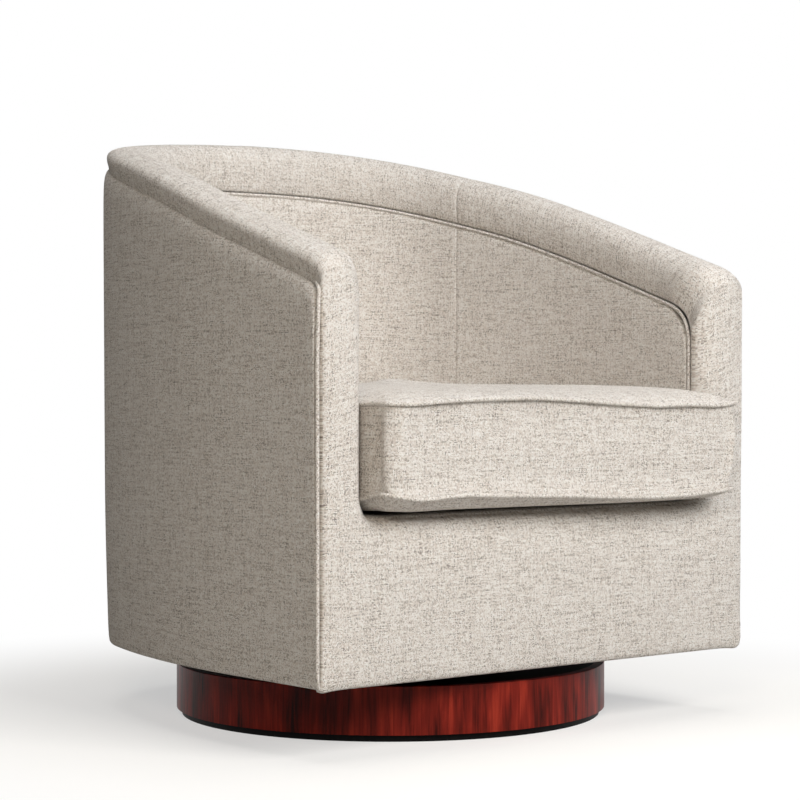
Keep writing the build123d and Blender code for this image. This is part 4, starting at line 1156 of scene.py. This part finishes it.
# ---- Swivel bearing ----------------------------------------------------------------------
# Two pressed steel plates, black powder coated, with a race between them: zinc-plated bolts
# and balls, and a moulded nylon cage.
# pressed steel under black powder coat: satin black, slightly pebbled like orange peel
ORANGE_PEEL = 0.8 / MM          # how close together the pebbles of the coat come
COAT_BLACK, COAT_GREY = "#101011", "#232326"
black_steel, coat_shader, _ = grained(
    "black_powder_coat", "ShaderNodeTexNoise", {"Scale": ORANGE_PEEL, "Detail": 2.0},
    [(0.4, COAT_BLACK), (0.75, COAT_GREY)], bump=(0.2, 0.1 * MM),
)
coat_shader.inputs["Roughness"].default_value = 0.45

# zinc-plated steel: bright cold grey metal, with duller patches that blur what they mirror
ZINC_PATCH = 0.3 / MM           # how close together the dull patches come
ZINC, ZINC_DULL = "#C6C8CA", "#9FA2A5"
zinc_steel, zinc_shader, zinc_patches = grained(
    "zinc_plated_steel", "ShaderNodeTexNoise", {"Scale": ZINC_PATCH, "Detail": 3.0},
    [(0.35, ZINC_DULL), (0.7, ZINC)],
)
zinc_rough = add(zinc_steel, "ShaderNodeMapRange", {0: zinc_patches, 3: 0.22, 4: 0.4})
zinc_steel.node_tree.links.new(zinc_rough.outputs[0], zinc_shader.inputs["Roughness"])
zinc_shader.inputs["Metallic"].default_value = 1.0

# black nylon, injection moulded: a soft waxy shine, with faint paler flow marks
NYLON_FLOW = 0.4 / MM           # how close together the flow marks come
NYLON, NYLON_PALE = "#1B1B1C", "#2C2C2E"
nylon, nylon_shader, _ = grained(
    "moulded_nylon", "ShaderNodeTexNoise", {"Scale": NYLON_FLOW, "Detail": 2.0},
    [(0, NYLON), (1, NYLON_PALE)],
)
nylon_shader.inputs["Roughness"].default_value = 0.55
nylon_shader.inputs["IOR"].default_value = 1.53

finish_nodes(black_steel, "lower_swivel_plate", "upper_swivel_plate", "pivot_rivet")
finish_nodes(zinc_steel, "lower_plate_bolts", "upper_plate_bolts", "bearing_balls")
finish_nodes(nylon, "ball_cage")

# ---- Tub frame and springs ---------------------------------------------------------------
# Plywood boards, rails and studs under the padding, and flat zigzag springs of tempered wire
# held in clips on the seat rail.
finish_nodes(
    frame_wood, "bottom_board", "front_rail", "seat_rail", "arm_post_left", "arm_post_right",
    "lower_studs", "upper_studs", "top_rail_left", "top_rail_right", "top_rail_back",
)
finish_nodes(zinc_steel, "seat_springs", "spring_clips", "zip_slider")

# ---- Dust cover --------------------------------------------------------------------------
# Black spunbonded cloth stapled under the tub, with a square opening for the swivel plate.
# black spunbonded polypropylene: thin, dull, dimpled all over where hot points fuse the fibres
SPUNBOND_DIMPLE = 2.4 * MM      # drawn dimple, coarser than the real ones
DUST_BLACK, DUST_GREY = "#121212", "#2A2A2A"
dust_cloth, dust_shader, _ = grained(
    "black_spunbond", "ShaderNodeTexVoronoi", {"Scale": 1 / SPUNBOND_DIMPLE},
    [(0, DUST_BLACK), (1, DUST_GREY)], bump=(0.4, 0.3 * MM),
)
dust_shader.inputs["Roughness"].default_value = 0.85
DUST_INSET = 15 * MM            # its edge is turned in and stapled this far inside the hem
DUST_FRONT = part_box("dust_cover")[0][1] + 9 * MM
DUST_OPENING = 121 * MM         # half the side of the square opening
DUST_THICK = 0.4 * MM
dust_loop = whole_loop(half_outline(DUST_INSET, DUST_FRONT, 6 * MM, step=10 * MM))
dust_turn = np.arctan2(dust_loop[:, 1], dust_loop[:, 0])
for quarter in (-3, -1, 1, 3):
    near_corner = np.argmin(np.abs(dust_turn - quarter * math.pi / 4))
    dust_turn[near_corner] = quarter * math.pi / 4
opening = np.column_stack([np.cos(dust_turn), np.sin(dust_turn)])
opening *= DUST_OPENING / np.abs(opening).max(axis=1, keepdims=True)
dust_rings = []
for share in (0, 0.03, 0.2, 0.4, 0.6, 0.8, 0.95, 1):
    # the outer edge lies on the turned hem of the linen, the rest close under the board
    height = 87.9 * MM - 1.1 * MM * share**3
    xy = opening + (dust_loop - opening) * share
    dust_rings.append(np.column_stack([xy, np.full(len(dust_loop), height)]))
dust_sheet = ring_mesh("dust_cover_cloth", np.array(dust_rings), smooth=False)
thicken = dust_sheet.modifiers.new("thickness", "SOLIDIFY")
thicken.thickness = DUST_THICK
thicken.offset = 0
apply_modifiers(dust_sheet)
dust_sheet.data.materials.append(dust_cloth)
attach(dust_sheet, "tub")
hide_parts("dust_cover")
turned = np.roll(dust_loop, -1, axis=0)
dust_area = abs(np.sum(dust_loop[:, 0] * turned[:, 1] - dust_loop[:, 1] * turned[:, 0])) / 2
dust_area -= (2 * DUST_OPENING) ** 2

# ---- Floor, camera and lights --------------------------------------------------------------
# A plain white studio sweep: pale floor that keeps the chair's shadow and goes over into white.
# One large soft light stands in front and high, a weaker warm one at the left, one hangs overhead.
FLOOR_PALE, FLOOR_CLOUD = "#BBB9B5", "#B4B2AE"
SHADOW_REACH = (0.5, 1.1)       # metres from the axis where the floor starts and ends fading to white
FLOOR_LIFT = 0.52               # added for the camera alone, so that lit floor meets the white surround
floor_mesh = bpy.data.meshes.new("floor")
floor_mesh.from_pydata([(-9, -9, 0), (9, -9, 0), (9, 9, 0), (-9, 9, 0)], [], [(0, 1, 2, 3)])
floor = bpy.data.objects.new("floor", floor_mesh)
bpy.context.scene.collection.objects.link(floor)
sweep = bpy.data.materials.new("pale_studio_floor")
sweep.use_nodes = True
sweep_shader = sweep.node_tree.nodes["Principled BSDF"]
sweep_out = sweep.node_tree.nodes["Material Output"]
floor_spot = add(sweep, "ShaderNodeTexCoord")
floor_cloud = add(sweep, "ShaderNodeTexNoise", {"Vector": floor_spot.outputs["Object"], "Scale": 3.0})
floor_ramp = add(sweep, "ShaderNodeValToRGB", {0: floor_cloud.outputs[0]})
floor_ramp.color_ramp.elements[0].color = linear(FLOOR_CLOUD)
floor_ramp.color_ramp.elements[1].color = linear(FLOOR_PALE)
sweep.node_tree.links.new(floor_ramp.outputs[0], sweep_shader.inputs["Base Color"])
sweep_shader.inputs["Roughness"].default_value = 0.9
sweep_shader.inputs["Specular IOR Level"].default_value = 0.1
rays = add(sweep, "ShaderNodeLightPath")
seen = add(
    sweep, "ShaderNodeMath",
    {0: rays.outputs["Is Camera Ray"], 1: rays.outputs["Is Glossy Ray"]}, operation="MAXIMUM",
)
seen = add(
    sweep, "ShaderNodeMath",
    {0: seen.outputs[0], 1: rays.outputs["Is Transmission Ray"]}, operation="MAXIMUM",
)
distance = add(sweep, "ShaderNodeVectorMath", {0: floor_spot.outputs["Object"]}, operation="LENGTH")
away = add(
    sweep, "ShaderNodeMapRange",
    {0: distance.outputs["Value"], 1: SHADOW_REACH[0], 2: SHADOW_REACH[1]}, interpolation_type="SMOOTHSTEP",
)
white = add(sweep, "ShaderNodeEmission", {"Color": (1, 1, 1, 1), "Strength": 1.0})
lift = add(sweep, "ShaderNodeMath", {0: seen.outputs[0], 1: FLOOR_LIFT}, operation="MULTIPLY")
glow = add(sweep, "ShaderNodeEmission", {"Color": (1, 1, 1, 1), "Strength": lift.outputs[0]})
near_floor = add(sweep, "ShaderNodeAddShader", {0: sweep_shader.outputs[0], 1: glow.outputs[0]})
blend = add(sweep, "ShaderNodeMath", {0: away.outputs[0], 1: seen.outputs[0]}, operation="MULTIPLY")
whole_floor = add(
    sweep, "ShaderNodeMixShader", {0: blend.outputs[0], 1: near_floor.outputs[0], 2: white.outputs[0]},
)
sweep.node_tree.links.new(whole_floor.outputs[0], sweep_out.inputs["Surface"])
floor_mesh.materials.append(sweep)

SURROUND = 0.02                 # light of the white surround on the chair
world = bpy.data.worlds.new("studio")
bpy.context.scene.world = world
world.use_nodes = True
backdrop = world.node_tree.nodes["Background"]
backdrop.inputs["Color"].default_value = (1, 1, 1, 1)
paths = add(world, "ShaderNodeLightPath")
direct = add(
    world, "ShaderNodeMath",
    {0: paths.outputs["Is Camera Ray"], 1: paths.outputs["Is Transmission Ray"]}, operation="MAXIMUM",
)
either = add(
    world, "ShaderNodeMath",
    {0: direct.outputs[0], 1: paths.outputs["Is Glossy Ray"]}, operation="MAXIMUM",
)
strength = add(world, "ShaderNodeMapRange", {"Value": either.outputs[0], "To Min": SURROUND, "To Max": 1.0})
world.node_tree.links.new(strength.outputs[0], backdrop.inputs["Strength"])

MIDDLE_OF_CHAIR = Vector((0, 0, 0.42))
# name, azimuth right of the front, elevation, width, value that a white face turned to it gets, colour
LIGHTS = (
    ("key", 5, 30, 2.0, 0.85, "#FFFFFF"),
    ("left_fill", -45, 20, 1.0, 0.265, "#FFF4E4"),
    ("overhead", 0, 88, 2.6, 0.47, "#FFFFFF"),
)
LIGHT_REACH = 4.0
for name, azimuth, elevation, width, level, colour in LIGHTS:
    lamp = bpy.data.lights.new(name, "AREA")
    lamp.energy = level * (math.pi * LIGHT_REACH) ** 2
    lamp.size = width
    lamp.color = linear(colour)[:3]
    holder = bpy.data.objects.new(name, lamp)
    a, e = math.radians(azimuth), math.radians(elevation)
    toward = Vector((math.sin(a) * math.cos(e), -math.cos(a) * math.cos(e), math.sin(e)))
    holder.location = MIDDLE_OF_CHAIR + toward * LIGHT_REACH
    holder.rotation_euler = toward.to_track_quat("Z", "Y").to_euler()
    bpy.context.scene.collection.objects.link(holder)
bpy.context.scene.view_settings.view_transform = "Standard"

PHOTO_FOCAL = 2355              # in the photograph's pixels, over a frame 800 wide
PHOTO_WIDTH = 800
CAMERA_SPOT = (-2.0258, -2.4856, 0.4633)
CAMERA_DROP = 0.013             # radians below level
CAMERA_TURN = 39.41             # degrees to the right of straight ahead
camera_data = bpy.data.cameras.new("camera")
camera_data.sensor_width = 36.0
camera_data.lens = camera_data.sensor_width * PHOTO_FOCAL / PHOTO_WIDTH
camera_data.clip_end = 50
camera = bpy.data.objects.new("camera", camera_data)
camera.location = CAMERA_SPOT
camera.rotation_euler = (math.pi / 2 - CAMERA_DROP, 0, -math.radians(CAMERA_TURN))
bpy.context.scene.collection.objects.link(camera)
bpy.context.scene.camera = camera
